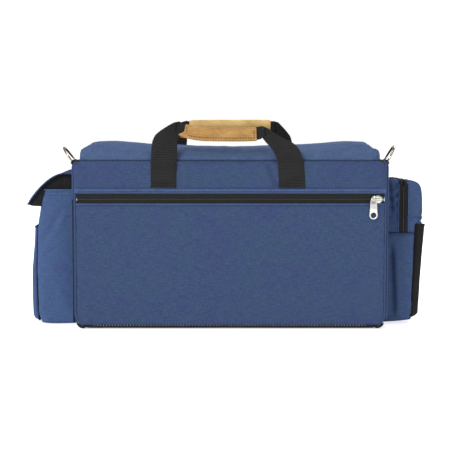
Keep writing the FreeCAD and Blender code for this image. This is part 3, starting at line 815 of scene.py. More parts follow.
def settle(o, cap, frames_=20, pressure=4.0, stiffness=12.0, pin=None):
    """Lets the padded cloth fill and wrinkle under a little pressure. How far any point may move is capped, and the hem is held."""
    g = o.vertex_groups.new(name="hem")
    for v in o.data.vertices:
        w = pin(v.co * 1000)
        if w > 0:
            g.add([v.index], w, "REPLACE")
    m = o.modifiers.new("cloth", "CLOTH")
    c = m.settings
    c.quality = 5
    c.mass = 0.35
    c.tension_stiffness = c.compression_stiffness = stiffness
    c.shear_stiffness = stiffness * 0.6
    c.bending_stiffness = 0.9
    c.use_pressure = True
    c.uniform_pressure_force = pressure
    c.effector_weights.gravity = 0.0
    c.shrink_min = -0.012
    c.vertex_group_mass = "hem"
    m.collision_settings.use_collision = False
    sc = bpy.context.scene
    m.point_cache.frame_start, m.point_cache.frame_end = 1, frames_
    for f in range(1, frames_ + 1):
        sc.frame_set(f)
        bpy.context.view_layer.update()
    ev = o.evaluated_get(bpy.context.evaluated_depsgraph_get())
    inv = o.matrix_world.inverted()
    now = [v.co.copy() for v in ev.data.vertices]
    far = 0.0
    moved = []
    for v, q in zip(o.data.vertices, now):
        d = q - v.co
        far = max(far, d.length)
        if d.length > cap:
            d = d * (cap / d.length)
        moved.append(v.co + d)
    o.modifiers.remove(m)
    for v, q in zip(o.data.vertices, moved):
        v.co = q
    sc.frame_set(1)
    print("settled", o.name, "largest move mm", round(far * 1000, 2))
    return o


settle(lid, 0.0022, pin=lambda p: 1.0 if p.z < 240.2 else (0.0 if min(211 - abs(p.x), 112 - abs(p.y)) > 6 else 0.4))
panel("lid_lining_face", (0, 0, 238.2), X, Y, (0, 0, -1), -208.5, 207.5, -108.5, 109.0, 1.5, 3.0, LINING, "lid", ("lid_lining",), radii=(12, 12, 12, 12), na=50, nb=30,
      bulge=lambda a, b: -0.35 + 0.3 * fbm(a, b, 0, 60, 71.0), slot="lining")

# the seam that the lid turns on, a strip between the body and the lid
# dark cloth along the gap between the lid and the band: the seam, with the shade in the gap painted into its colour
seam = sweep("lid_hinge_seam_shade", [(x, -114.6 + 0.25 * nz(x, 0, 0, 30, 72.0), 236.7 + 0.25 * nz(x, 0, 0, 22, 73.0)) for x in range(-205, 207, 4)],
           [(-1.5, -1.2), (-0.4, -1.5), (0.9, -1.2), (1.5, 0), (0.9, 1.2), (-0.4, 1.5), (-1.5, 1.2)], BLUE_DARK, None, up=Vector((0, 1, 0)))
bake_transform(seam)


def hinge_tape():
    """A strip of nylon inside the hinge edge, sewn to the rim below and to the lid above."""
    sec = [(-113.1, 235.0), (-112.8, 236.4), (-112.4, 237.5), (-111.6, 238.3), (-110.4, 238.7), (-110.2, 237.8), (-111.1, 237.4), (-111.6, 236.8), (-111.9, 236.0), (-112.0, 235.0)]
    ring = resample([(0, y, z) for y, z in sec + sec[:1]], 44, 1)[:-1]
    xs_ = [-206 + 4.1 * i for i in range(101)]
    m = len(ring)
    verts = [Vector((x, p.y + 0.12 * nz(x, 0, p.z, 18, 74.0), p.z)) for x in xs_ for p in ring]
    faces = [(i * m + j, i * m + (j + 1) % m, (i + 1) * m + (j + 1) % m, (i + 1) * m + j) for i in range(len(xs_) - 1) for j in range(m)]
    faces += [tuple(range(m)), tuple((len(xs_) - 1) * m + j for j in range(m))]
    return finish_mesh("lid_hinge_tape", verts, faces, BLACKF, None)


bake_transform(hinge_tape())

stitches("lid_seam_tacks", [[(x, -117.3, 236.9), (x + 2.6, -117.3, 236.9)] for x in (12.0, 13.8, 176.0, 177.8)], THREAD_BLACK, "root", 1.6, 0.4, 1.2, 0.9)

# lid zip: tape round the ends and the far side, above and below the coil
def u_path(x0, x1, y0, y1, r, z):
    pts = [Vector((x0, y0 + i * (y1 - r - y0) / 12, z)) for i in range(13)]
    pts += [Vector((x0 + r - r * math.cos(a), y1 - r + r * math.sin(a), z)) for a in [math.pi / 2 * i / 8 for i in range(1, 9)]]
    pts += [Vector((x0 + r + (x1 - x0 - 2 * r) * i / 40, y1, z)) for i in range(1, 41)]
    pts += [Vector((x1 - r + r * math.sin(a), y1 - r + r * math.cos(a), z)) for a in [math.pi / 2 * i / 8 for i in range(1, 9)]]
    pts += [Vector((x1, y1 - r - i * (y1 - r - y0) / 12, z)) for i in range(1, 13)]
    return pts


strip = [(-0.35, -2.4), (0.35, -2.4), (0.45, 0), (0.35, 2.4), (-0.35, 2.4), (-0.45, 0)]
sweep("lid_zip_tape_upper", u_path(-211.75, 210.95, -96, 113.2, 15, 241.2), [(a, b * 0.9) for a, b in strip], TAPE, "lid", ("lid_zip_tape",), up=Vector((0, 0, 1)), slot="zip_tape")
sweep("lid_zip_tape_lower", u_path(-213.4, 212.6, -100, 115.5, 15, 234.6), [(a, b * 0.8) for a, b in strip], TAPE, "root", ("rim_zip_tape_far",), up=Vector((0, 0, 1)), slot="zip_tape")
tube("lid_zip_coil", u_path(-212.3, 211.5, -96, 114.6, 15, 238.1), 0.75, COIL, "root", n=8, slot="zip_coil")
for sg, nm in ((-1, "left"), (1, "right")):
    panel("rim_zip_tape_" + nm, (0, 0, 236.2), X, Y, Z, *((-220.0, -213.8) if sg < 0 else (213.0, 220.0)), -104, 104, 0.7, 1.2, TAPE, "root", ("rim_zip_tape_ends",) if sg < 0 else (), na=3, nb=40,
          bulge=lambda a, b: 0.1 * nz(a, b, 0, 15, 74.0))

# ------------------------------------------------------------------ handles
FEET, NEARH, FARH = "near_handle_feet", "near_handle", "far_handle"


def edge3(points, y):
    return [Vector((x, y(z) if callable(y) else y, z)) for x, z in points]


def near_y(z):
    """How far the near webbing stands off the band."""
    return -117.6 - 1.6 * math.sin(math.pi * clamp((z - 200) / 62)) + (1.0 * S(262, 285, z))


left_out = [(-112.4, 200.2), (-112.0, 215), (-111.0, 238), (-110.4, 252), (-109.2, 264), (-105.2, 273.2), (-97.0, 280.0), (-86.0, 287.0), (-78.0, 291.2), (-70.5, 292.4)]
left_in = [(-75.0, 200.2), (-74.8, 214), (-74.5, 232), (-74.2, 248), (-73.9, 260), (-73.6, 268), (-73.2, 275), (-72.6, 281), (-71.8, 286), (-69.4, 290.4)]
leg1 = ruled("near_webbing_left", edge3(left_out, near_y), edge3(left_in, near_y), 70, 14, 2.6, WEB, None, ("near_handle_feet", "near_handle_webbing"),
             lift=lambda u, v: 0.5 * math.sin(math.pi * v) * -1.0 * (1 - u) + 4.2 * S(0.80, 1.0, u) * S(0.2, 1.0, v) - 0.9 * S(0.55, 0.85, u) * (1 - v), slot="webbing")
right_out = [(105.3, 200.2), (104.6, 215), (102.6, 232), (100.6, 244), (97.0, 252.8), (91.5, 259.6), (84.0, 264.8), (74.0, 268.8), (66.0, 273.0), (58.5, 278.6), (52.0, 283.2), (46.0, 285.6), (41.0, 285.8)]
right_in = [(67.8, 200.2), (67.6, 213), (66.9, 228), (65.6, 238), (62.6, 246.5), (58.6, 253.2), (54.0, 258.6), (50.2, 262.6), (47.0, 266.4), (44.6, 269.8), (42.6, 272.6), (40.6, 275.2), (38.6, 278.4)]
leg2 = ruled("near_webbing_right", edge3(right_out, near_y), edge3(right_in, near_y), 80, 14, 2.6, WEB, None, (),
             lift=lambda u, v: -0.6 * math.sin(math.pi * v) * (1 - u) - 2.2 * math.sin(math.pi * clamp(u * 1.05)) * (1 - v * 0.3) + 2.6 * S(0.75, 1.0, u), slot="webbing")


for leg in (leg1, leg2):
    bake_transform(leg)


def lip(w, h, n=14):
    """A folded strap's section: two layers with rounded folds."""
    pts = []
    for i in range(n):
        a = 2 * math.pi * i / n
        pts.append((w / 2 * math.copysign(abs(math.cos(a)) ** 0.45, math.cos(a)), h / 2 * math.copysign(abs(math.sin(a)) ** 0.8, math.sin(a))))
    return pts


# the strap folds in half before it goes into the grip
fold1 = sweep("near_webbing_fold_left", resample([(-74.0, -116.4, 280.2), (-68, -116.6, 279.6), (-60, -118.2, 278.4)], 14, 1), lip(19.5, 6.5), WEB, NEARH, up=Vector((0, 1, 0)))
fold2 = sweep("near_webbing_fold_right", resample([(34, -118.0, 275.0), (40.5, -117.2, 276.4), (47.5, -117.2, 277.0)], 14, 1), lip(18.0, 6.5), WEB, NEARH, up=Vector((0, 1, 0)),
              scale=lambda u: (1.0 - 0.35 * S(0.5, 1, u), 1.0))


def grip_section(h_top, h_bot, w, n=30):
    """A suede wrap: a full round top over the folded strap, closed by a sewn flange below."""
    pts = []
    for i in range(n + 1):
        a = math.pi * (-0.16 + 1.32 * i / n)
        pts.append((w / 2 * math.cos(a) * (1.0 if math.sin(a) > 0 else 0.97), h_top * math.sin(a) if math.sin(a) > 0 else h_top * 0.9 * math.sin(a)))
    flange = [(-w * 0.245, -h_bot * 0.55), (-w * 0.215, -h_bot * 0.92), (-w * 0.12, -h_bot), (w * 0.12, -h_bot), (w * 0.215, -h_bot * 0.92), (w * 0.245, -h_bot * 0.55)]
    return pts + flange


def grip(name, path, section, body, nodes, mat, wob, seed, lip_left=0.0):
    """Sweeps the section (across, up) along a path of points, with soft swelling and ends that roll in."""
    pts = resample(path, 90, 2)
    verts, faces, m = [], [], len(section)
    total = len(pts)
    for i, p in enumerate(pts):
        u = i / (total - 1)
        a = pts[max(0, i - 1)]
        b = pts[min(total - 1, i + 1)]
        t = (b - a).normalized()
        up = Vector((0, 0, 1)) - t * t.z
        up.normalize()
        side = Vector((0, 1, 0))
        e = min(u, 1 - u) * total
        k = 1.0 - 0.07 * gauss(e, 1.2) + 0.03 * gauss(e - 4, 3)
        flare = lip_left * gauss(u, 0.035)
        for s, h in section:
            w = wob * fbm(p.x, s * 2, h * 2, 22, seed)
            low = clamp((-h - 4.0) / 6.0)
            verts.append(p + side * (s * k + w * 0.5) + up * (h * k + w + 0.16 * flare * low) - t * flare * low)
    for i in range(total - 1):
        for j in range(m):
            faces.append((i * m + j, i * m + (j + 1) % m, (i + 1) * m + (j + 1) % m, (i + 1) * m + j))
    for base, shift in ((0, -1), ((total - 1) * m, 1)):
        # the end of the wrap: a rim of the suede's own thickness, then the hole that the strap goes into
        c = sum((verts[base + j] for j in range(m)), Vector()) / m
        rim = []
        for j in range(m):
            v = verts[base + j]
            rim.append(len(verts))
            verts.append(v + (c - v) * 0.16 + Vector((shift * -0.4, 0, 0)))
        deep = []
        for j in range(m):
            v = verts[base + j]
            deep.append(len(verts))
            verts.append(v + (c - v) * 0.2 + Vector((shift * -3.0, 0, 0)))
        for j in range(m):
            j2 = (j + 1) % m
            faces.append((base + j, base + j2, rim[j2], rim[j]))
            faces.append((rim[j], rim[j2], deep[j2], deep[j]))
        faces.append(tuple(deep))
    return finish_mesh(name, verts, faces, mat, body, nodes, slot="suede")


near_path = [(-63.6, -118.6, 281.0), (-58, -118.6, 279.7), (-48, -118.7, 277.6), (-36, -118.8, 276.4), (-10, -118.8, 276.0), (10, -118.8, 275.9), (25, -118.7, 276.1), (36.6, -118.4, 276.7)]
grip("near_grip_wrap", near_path, grip_section(7.7, 11.0, 14.5), NEARH, ("near_handle_grip",), SUEDE, 0.28, 81.0, 6.5)
gp = resample(near_path, 60, 2)
stitches("near_grip_thread", [[Vector((p.x, p.y - 3.8, p.z - 6.9)) for p in gp[2:-2]],
                            [Vector((gp[-3].x, gp[-3].y - 7.45 * math.sqrt(max(0.0, 1 - (h / 7.7) ** 2)) if h > -3 else gp[-3].y - 4.4, gp[-3].z + h)) for h in (5.5, 4, 2, 0, -2.5, -5.5, -8.5)],
                            [Vector((gp[2].x, gp[2].y - 7.45 * math.sqrt(max(0.0, 1 - (h / 7.7) ** 2)) if h > -3 else gp[2].y - 4.4, gp[2].z + h)) for h in (5.5, 4, 2, 0, -2.5, -5.0)]],
         THREAD_BROWN, NEARH, 1.9, 1.9, 1.6, 1.6)
sweep("near_grip_flange_edge", [Vector((p.x - 6.2 * gauss(i / 59, 0.035), p.y, p.z - 10.95 + 0.9 * gauss(i / 59, 0.035))) for i, p in enumerate(gp)], [(-2.4, -0.45), (2.4, -0.45), (2.7, 0.0), (2.4, 0.55), (-2.4, 0.55), (-2.7, 0.0)], SUEDE_EDGE, NEARH, up=Vector((0, 0, 1)))

far_path = [(-63.5, 125.4, 282.0), (-40, 125.4, 282.8), (0, 125.4, 282.9), (40, 125.4, 282.8), (64.0, 125.4, 282.2)]
# the far grip takes the paler copy of the suede: painted light
grip("far_grip_wrap", far_path, grip_section(10.0, 12.4, 12.5), FARH, ("far_handle_grip",), SUEDE_LIT, 0.28, 91.0)
gq = resample(far_path, 60, 2)
stitches("far_grip_thread", [[Vector((p.x, p.y + s, p.z - 7.9)) for p in gq[2:-2]] for s in (3.4,)], THREAD_BROWN, FARH, 2.3, 1.5, 0.9, 0.7, (0, 1, 0))
sweep("far_grip_flange_edge", [Vector((p.x, p.y, p.z - 12.3)) for p in gq], [(-2.4, -0.45), (2.4, -0.45), (2.7, 0.0), (2.4, 0.55), (-2.4, 0.55), (-2.7, 0.0)], SUEDE_EDGE, FARH, up=Vector((0, 0, 1)))


def far_y(z):
    return interp([(198, 116.9), (201, 117.4), (213, 123.6), (222, 125.4), (300, 125.4)], z)


far_lo = [(-112.4, 199), (-111.6, 215), (-108.6, 235), (-105.2, 252), (-102, 264), (-95.0, 276.0), (-84.0, 287.5), (-67.0, 291.6)]
far_li = [(-75.0, 199), (-74.0, 215), (-70.6, 235), (-68.2, 250), (-67.4, 262), (-67.2, 268.5), (-66.8, 272), (-66.0, 274.0)]
far_ro = [(105.3, 199), (104.6, 215), (101.5, 240), (98.0, 258.0), (95.6, 267.0), (88.0, 276.6), (76.0, 289.4), (66.0, 290.8)]
far_ri = [(67.8, 199), (67.6, 215), (67.6, 235), (67.6, 250), (67.4, 260), (66.8, 266), (65.8, 270), (64.8, 272.5)]
fl = ruled("far_webbing_left", edge3(far_lo, far_y), edge3(far_li, far_y), 60, 12, 2.6, WEB, None, ("far_handle_feet", "far_handle_webbing"), lift=lambda u, v: 0.5 * math.sin(math.pi * v), slot="webbing")
fr = ruled("far_webbing_right", edge3(far_ro, far_y), edge3(far_ri, far_y), 60, 12, 2.6, WEB, None, (), lift=lambda u, v: 0.5 * math.sin(math.pi * v), slot="webbing")
for leg in (fl, fr):
    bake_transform(leg)
sweep("far_webbing_fold_left", resample([(-72.0, 125.4, 281.8), (-66, 125.4, 281.4), (-58, 125.4, 281.2)], 12, 1), lip(18.5, 6.5), WEB, FARH, up=Vector((0, 1, 0)))
sweep("far_webbing_fold_right", resample([(57, 125.4, 281.0), (64, 125.4, 281.4), (71.0, 125.4, 281.6)], 12, 1), lip(18.5, 6.5), WEB, FARH, up=Vector((0, 1, 0)))

# ----------------------------------------------------- sliders, pulls, rings
def outline(points, closed_r=0.0):
    return [Vector((a, b, 0)) for a, b in points]


def plate(name, outer_loop, holes, P, A, B, N, t, bevel, mat, body, nodes=(), **kw):
    """A flat metal part with rounded edges, cut out along outer_loop (a, b) with round holes (a, b, r); its back lies at P and its face t along N."""
    P, A, B, N = Vector(P), Vector(A), Vector(B), Vector(N)
    bm = bmesh.new()
    loops = [[Vector(p) for p in outer_loop]]
    for a, b, r in holes:
        loops.append([Vector((a + r * math.cos(2 * math.pi * i / 28), b + r * math.sin(2 * math.pi * i / 28))) for i in range(28)])
    edges = []
    for L in loops:
        vs = [bm.verts.new((p[0], p[1], 0)) for p in L]
        for i in range(len(vs)):
            edges.append(bm.edges.new((vs[i], vs[(i + 1) % len(vs)])))
    bmesh.ops.triangle_fill(bm, edges=edges, use_beauty=True, use_dissolve=False)
    bmesh.ops.recalc_face_normals(bm, faces=bm.faces)
    # drop the fill inside the holes
    for f in list(bm.faces):
        c = f.calc_center_median()
        if any((c.x - a) ** 2 + (c.y - b) ** 2 < (r * 0.96) ** 2 for a, b, r in holes):
            bm.faces.remove(f)
    verts_ = [v.co.copy() for v in bm.verts]
    faces_ = [[v.index for v in f.verts] for f in bm.faces]
    bm.verts.ensure_lookup_table()
    bm.verts.index_update()
    verts_ = [v.co.copy() for v in bm.verts]
    faces_ = [[v.index for v in f.verts] for f in bm.faces]
    bm.free()
    # offset rings for the rounded edges: shrink the faces slightly for the top and bottom layers
    starts, idx = [], 0
    for L in loops:
        starts.append((idx, len(L)))
        idx += len(L)

    def shifted(d):
        out = [Vector((0, 0))] * idx
        for (s0, n), L in zip(starts, loops):
            area2 = sum(L[i].x * L[(i + 1) % n].y - L[(i + 1) % n].x * L[i].y for i in range(n))
            sign = 1 if area2 > 0 else -1
            hole = s0 > 0
            for i in range(n):
                a, b, c = L[i - 1], L[i], L[(i + 1) % n]
                e1, e2 = (b - a), (c - b)
                n1 = Vector((e1.y, -e1.x)).normalized() if e1.length > 1e-9 else Vector((0, 0))
                n2 = Vector((e2.y, -e2.x)).normalized() if e2.length > 1e-9 else Vector((0, 0))
                nn = (n1 + n2)
                nn = nn.normalized() * sign if nn.length > 1e-6 else Vector((0, 0))
                out[s0 + i] = b + nn * (d if hole else -d)
        return out

    layers = [(bevel, 0.0), (bevel * 0.3, bevel * 0.3), (0.0, bevel), (0.0, t - bevel), (bevel * 0.3, t - bevel * 0.3), (bevel, t)]
    verts, faces = [], []
    for d, h in layers:
        for p in shifted(d):
            verts.append(P + A * p.x + B * p.y + N * h)
    for f in faces_:
        faces.append(tuple(reversed(f)))
        faces.append(tuple(i + 5 * idx for i in f))
    for q in range(5):
        for s0, n in starts:
            for i in range(n):
                a, b = s0 + i, s0 + (i + 1) % n
                faces.append((q * idx + a, q * idx + b, (q + 1) * idx + b, (q + 1) * idx + a))
    return finish_mesh(name, verts, faces, mat, body, nodes, **kw)


def arc(cx, cy, r, a0, a1, n=10):
    return [(cx + r * math.cos(math.radians(a0 + (a1 - a0) * i / n)), cy + r * math.sin(math.radians(a0 + (a1 - a0) * i / n))) for i in range(n + 1)]


def slider_body(name, C, A, B, N, L, W, H, mat, body, nodes=(), gap=True):
    """A zip slider: a shield-shaped plate. A runs along the zip, towards the closed side."""
    C, A, B, N = Vector(C), Vector(A), Vector(B), Vector(N)
    l, w = L / 2, W / 2
    loop = arc(l - w * 0.42, w * 0.52, w * 0.42, 0, 80, 6) + arc(0, w * 0.9, 0.8, 80, 110, 3) + arc(-l + w * 0.3, w * 0.42, w * 0.3, 90, 180, 5)
    loop = [(l, 0)] and ([(l - 0.3, -w * 0.55), (l, -w * 0.3), (l, w * 0.3), (l - 0.3, w * 0.55), (l - w * 0.32, w * 0.86), (l * 0.25, w * 0.98), (0, w * 0.9), (-l * 0.35, w * 0.74), (-l * 0.78, w * 0.66), (-l * 0.95, w * 0.5), (-l, w * 0.2),
            (-l, -w * 0.2), (-l * 0.95, -w * 0.5), (-l * 0.78, -w * 0.66), (-l * 0.35, -w * 0.74), (0, -w * 0.9), (l * 0.25, -w * 0.98), (l - w * 0.32, -w * 0.86)])
    pts = resample([Vector((a, b, 0)) for a, b in loop + loop[:1]], 65, 1)[:-1]
    o = plate(name, [(p.x, p.y) for p in pts], [], C, A, B, N, H, 0.5, mat, body, nodes, slot="nickel")
    return o


def pull_tab(name, C, D, Wv, N, length, half, ring_r, hole_r, t, mat, body, nodes=()):
    """A pull: an eye at the pin, a narrow neck, and a broad loop end with a hole. D points from the pin to the free end."""
    D, Wv, N = Vector(D), Vector(Wv), Vector(N)
    e = ring_r * 0.86
    loop = []
    loop += [(-e * math.cos(math.radians(a)), e * math.sin(math.radians(a))) for a in (-50, -30, -10, 10, 30, 50)]
    loop = [(-e * math.cos(math.radians(a)), e * math.sin(math.radians(a))) for a in range(-70, 71, 14)]
    top = [(e * 0.75, half * 0.62), (length * 0.30, half * 0.60), (length * 0.42, half * 0.74), (length * 0.55, half * 0.98), (length - half * 0.9, half), ]
    end = [(length - half + half * math.cos(math.radians(a)), half * math.sin(math.radians(a))) for a in range(80, -81, -16)]
    bot = [(a, -b) for a, b in reversed(top)]
    loop = loop + top + end + bot
    pts = resample([Vector((a, b, 0)) for a, b in loop + loop[:1]], 91, 1)[:-1]
    holes = [(0, 0, 1.5), (length - half, 0, hole_r)]
    slot_r = min(1.5, half * 0.34)
    return plate(name, [(p.x, p.y) for p in pts], holes, C, D, Wv, N, t, 0.32, mat, body, nodes, slot="nickel")


# -------------------------------------------------------------- end pockets
def rounded_u(x_in, x_out, hy, r, n=8, step=6.0):
    # the number of points doesn't depend on x_out, so that rows at different heights match
    """Plan of an end pocket: from the bag's end, round the outer wall, back to the bag. x_in may be right or left of x_out."""
    sg = 1 if x_out > x_in else -1
    pts = []
    q = int(40 / step) + 1
    for i in range(q):
        pts.append((x_in + (x_out - sg * r - x_in) * i / q, -hy))
    for i in range(n + 1):
        a = math.pi / 2 * i / n
        pts.append((x_out - sg * r + sg * r * math.sin(a), -hy + r - r * math.cos(a)))
    k = int((2 * hy - 2 * r) / max(step, 3.0))
    for i in range(1, k):
        pts.append((x_out, -hy + r + (2 * hy - 2 * r) * i / k))
    for i in range(n + 1):
        a = math.pi / 2 * i / n
        pts.append((x_out - sg * r + sg * r * math.cos(a), hy - r + r * math.sin(a)))
    for i in range(q - 1, -1, -1):
        pts.append((x_in + (x_out - sg * r - x_in) * i / q, hy))
    return pts


def pocket_wall(name, profile, x_in, hy, zs, thick, mat, body, nodes, fold, r=9.0, floor=True, **kw):
    """A pocket whose outer wall follows profile [(z, x_out)], round in plan. fold(x, y, z, side) moves the cloth outwards; side is 0 on the near and far walls and 1 on the outer one."""
    rows_o, rows_i = [], []
    for layer in (0.0, thick):
        rows = rows_o if not layer else rows_i
        for row, z in enumerate(zs):
            xo = interp(profile, z)
            path = rounded_u(x_in, xo, hy, r, step=2.0, n=6)
            sg = 1 if xo > x_in else -1
            ring = []
            for i, (x, y) in enumerate(path):
                a = path[max(0, i - 1)]
                b = path[min(len(path) - 1, i + 1)]
                d = Vector((b[0] - a[0], b[1] - a[1], 0)).normalized()
                n = Vector((d.y, -d.x, 0)) * sg
                side = clamp(abs(n.x))
                near_root = S(0, 10, abs(x - x_in))
                s = fold(x, y, z, side) * near_root
                ring.append(Vector((x, y, z + (thick if floor and layer and not row else 0.0))) + n * (s - layer))
            rows.append(ring)
    n = len(rows_o[0])
    k = len(zs)
    verts = [v for r_ in rows_o for v in r_] + [v for r_ in rows_i for v in r_]
    off = n * k
    faces = []
    for j in range(k - 1):
        for i in range(n - 1):
            a = j * n + i
            faces.append((a, a + 1, a + n + 1, a + n))
            faces.append((off + a, off + a + n, off + a + n + 1, off + a + 1))
        for i in (0, n - 1):
            a = j * n + i
            faces.append((a, a + n, off + a + n, off + a))
    for i in range(n - 1):
        a = (k - 1) * n + i
        faces.append((a, a + 1, off + a + 1, off + a))
        if not floor:
            faces.append((i, i + 1, off + i + 1, off + i))
    if floor:
        faces.append(tuple(range(n)))
        faces.append(tuple(off + i for i in range(n)))
        faces.append((0, n - 1, off + n - 1, off))
    return finish_mesh(name, verts, faces, mat, body, nodes, **kw)


# left pocket: an open-topped pouch under a flap
LP = [(3, -273.5), (8, -276.4), (18, -278.2), (60, -279.0), (86, -278.8), (120, -278.4), (145, -277.4), (154, -276.4), (167, -274.4), (177, -272.6), (188.5, -269.6), (193.5, -267.8)]


def left_fold(x, y, z, side):
    w = 1.25 * fbm(x, y, z * 1.3, 60, 101.0) + 0.5 * fbm(x, y, z, 20, 102.0)
    w += (1 - side) * (1.6 * math.sin(math.pi * clamp((-x - 221) / 56)) * S(8, 60, z) * S(200, 150, z))
    # slanting pulls from the lower outer corner, and puckers above the slip pocket's seam
    d = (-x - 262) * 0.75 + (z - 70) * 0.30
    w += (1 - side) * (0.7 * gauss(d, 7.0) - 0.6 * gauss(d + 13, 6.0)) * S(4, 40, z) * S(150, 90, z)
    d3 = (x + 252) * 0.75 - (z - 132) * 0.45
    w += (1 - side) * (1.5 * gauss(d3, 3.2) - 1.4 * gauss(d3 + 7.5, 3.0)) * S(92, 112, z) * S(172, 146, z)
    w += (1 - side) * 0.5 * math.sin((z + 0.3 * x) / 3.4 + 2.0 * nz(x, 0, z, 24, 105.0)) * gauss(z - 108, 26) * S(-222, -232, x)
    d2 = (-x - 250) * 0.9 - (z - 60) * 0.35
    w += (1 - side) * 0.8 * gauss(d2, 6.0) * S(10, 30, z) * S(110, 60, z)
    w += 0.7 * gauss(z - 22, 10) * nz(x, y, 0, 26, 103.0)
    w -= 0.65 * gauss(z - 186.6, 1.0)
    w -= 0.6 * gauss(z - 9.0, 1.5)
    return 2.6 * math.tanh(w / 2.6) - 0.3


lz = [3.0, 3.6, 4.6, 6.2, 8.2, 10.5] + [13 + i * 3.0 for i in range(58)] + [185.5, 186.6, 187.6, 189.5, 191.6, 192.8, 193.5]
pocket_wall("left_pocket_pouch", LP, -219.5, 69.6, lz, 1.9, BLUE_LIT, "root", ("left_pocket_shell",), left_fold, slot="blue_fabric")


def hem(name, path, z, rr, mat, body, nodes=(), zf=None, **kw):
    pts = [Vector((x, y, zf(x) if zf else z)) for x, y in path]
    return tube(name, pts, rr, mat, body, nodes, n=10, **kw)


# the pouch's mouth slopes up towards the bag: a turned hem, in the lighter edge cloth, a painted highlight
mouth = rounded_u(-221.0, -268.6, 68.9, 9.0, step=4.0)
hem("left_pocket_hem", mouth, 193.6, 1.25, BLUE_EDGE_LIT, "root")
row = []
for x, y in rounded_u(-221.0, -270.9, 69.9, 9.0, step=4.0):
    row.append(Vector((x, y, 188.3)))
cx, cy = -240, 0
near_row = [p for p in row if p.y < -60]
stitches("left_pocket_thread", [[Vector((p.x, p.y - 0.4, p.z)) for p in near_row if p.y <= -69.8]], THREAD_BLUE, "root", 1.9, 1.4, 0.6, 0.5)
stitches("left_pocket_thread_outer", [[Vector((-271.2, y, 188.3)) for y in range(-60, 61, 4)]], THREAD_BLUE, "root", 1.9, 1.4, 0.6, 0.5, (-1, 0, 0))

# slip pocket on its outer wall: black, open at the top
def slip(name, sg, profile, x_gap, hy, z0, z1, body, nodes, seed, mat=None):
    """A flat outer pocket: a wall that bows off the pouch, sewn down its two sides and its foot."""
    zs = [z0 + (z1 - z0) * i / 40 for i in range(41)]
    ys = [-hy, -hy + 1.2, -hy + 3.5, -hy + 7] + [-hy + 7 + (2 * hy - 14) * i / 26 for i in range(1, 26)] + [hy - 7, hy - 3.5, hy - 1.2, hy]
    verts, faces = [], []
    m, k = len(ys), len(zs)
    for layer in (0.0, 1.4):
        for z in zs:
            xo, xi = interp(profile, z), interp(x_gap, z)
            for y in ys:
                e = clamp((hy - abs(y)) / 7.0)
                roll = math.sqrt(max(0.0, 1 - (1 - e) ** 2))
                f = clamp((z - z0) / 9.0)
                rollz = math.sqrt(max(0.0, 1 - (1 - f) ** 2))
                q = roll * rollz
                x = xi + (xo - sg * 0.4 - xi) * q - sg * layer * q
                w = 0.6 * fbm(0, y, z, 50, seed) + 0.25 * fbm(0, y, z, 18, seed + 1)
                verts.append(Vector((x + sg * (w - 0.5) * q * (0.2 if layer else 1.0) * S(0, 6, abs(hy - abs(y))), y, z)))
    off = m * k
    for j in range(k - 1):
        for i in range(m - 1):
            a = j * m + i
            faces.append((a, a + 1, a + m + 1, a + m))
            faces.append((off + a, off + a + m, off + a + m + 1, off + a + 1))
        for i in (0, m - 1):
            a = j * m + i
            faces.append((a, a + m, off + a + m, off + a))
    for i in range(m - 1):
        for j in (0, k - 1):
            a = j * m + i
            faces.append((a, a + 1, off + a + 1, off + a))
    path = []
    for i in range(41):
        y = -(hy - 1.5) + (2 * hy - 3.0) * i / 40
        e = clamp((hy - abs(y)) / 7.0)
        q = math.sqrt(max(0.0, 1 - (1 - e) ** 2))
        xo, xi = interp(profile, z1), interp(x_gap, z1)
        path.append(Vector((xi + (xo - sg * 0.9 - xi) * q, y, z1 - 0.2)))
    tube(name + "_hem", path, 1.1, mat or BLACKF, body, n=10)
    return finish_mesh(name, verts, faces, mat or BLACKF, body, nodes, slot="blue_fabric" if mat else "black_fabric")


slip("left_slip_pocket_wall", -1, [(3, -285.4), (10, -287.2), (23, -287.8), (42, -288.4), (66, -288.3), (82, -287.6), (100, -285.9), (112, -284.6), (126, -283.8), (140, -283.4)], [(3, -276.6), (8, -277.4), (30, -279.0), (86, -279.2), (120, -278.8), (150, -277.4)], 63.5, 3, 140.0, "root", ("left_slip_pocket",), 111.0, BLUE_LIT)

# cord round the pouch's foot
base_u = rounded_u(-221.0, -272.6, 67.6, 9.0, step=4.0)
tube("left_pocket_base_cord", [Vector((x, y, 2.6 - 1.0 * math.sin(math.pi * clamp((-x - 221) / 52)) + 0.3 * nz(x, y, 0, 20, 5.5))) for x, y in base_u], 1.7, BLUE_LIT, "root", n=10)

# piping down the bag's corner, in near-black cloth that paints in the shade of the pocket: painted shade
tube("left_corner_piping_shade", [(-221.1, -111.0, z) for z in range(8, 188, 6)], 1.5, BLUE_SHADE, "root", n=10)

# hook-and-loop
panel("left_loop_strip", (-271.2, 0, 182.7), (0, -1, 0), (0.27, 0, 0.963), (-0.963, 0, 0.27), -35, 35, -5.8, 5.8, 1.6, 1.4, HOOK, "root", ("left_pocket_loop_strip",), radii=(3, 3, 3, 3), na=30, nb=8,
      bulge=lambda a, b: 0.15 * fbm(a, b, 0, 4, 121.0), slot="hook_loop")
panel("left_hook_strip", (-281.2, 0, 178.0), (0, 1, 0), (-0.62, 0, -0.785), (0.785, 0, -0.62), -34.5, 34.5, -5.6, 5.6, 1.5, 1.4, HOOK, "left_flap", ("left_flap_hook_strip",), radii=(3, 3, 3, 3), na=30, nb=8,
      bulge=lambda a, b: 0.15 * fbm(a, b, 0, 4, 122.0), slot="hook_loop")

# the flap: it is sewn to the bag, runs out flat and then hangs over the mouth
FO = [(-219.6, 216.6), (-230, 217.8), (-240.2, 218.1), (-247.0, 216.5), (-255.0, 212.9), (-264.5, 206.6), (-273.5, 198.9), (-281.5, 190.2), (-288.3, 181.6), (-293.4, 172.8)]


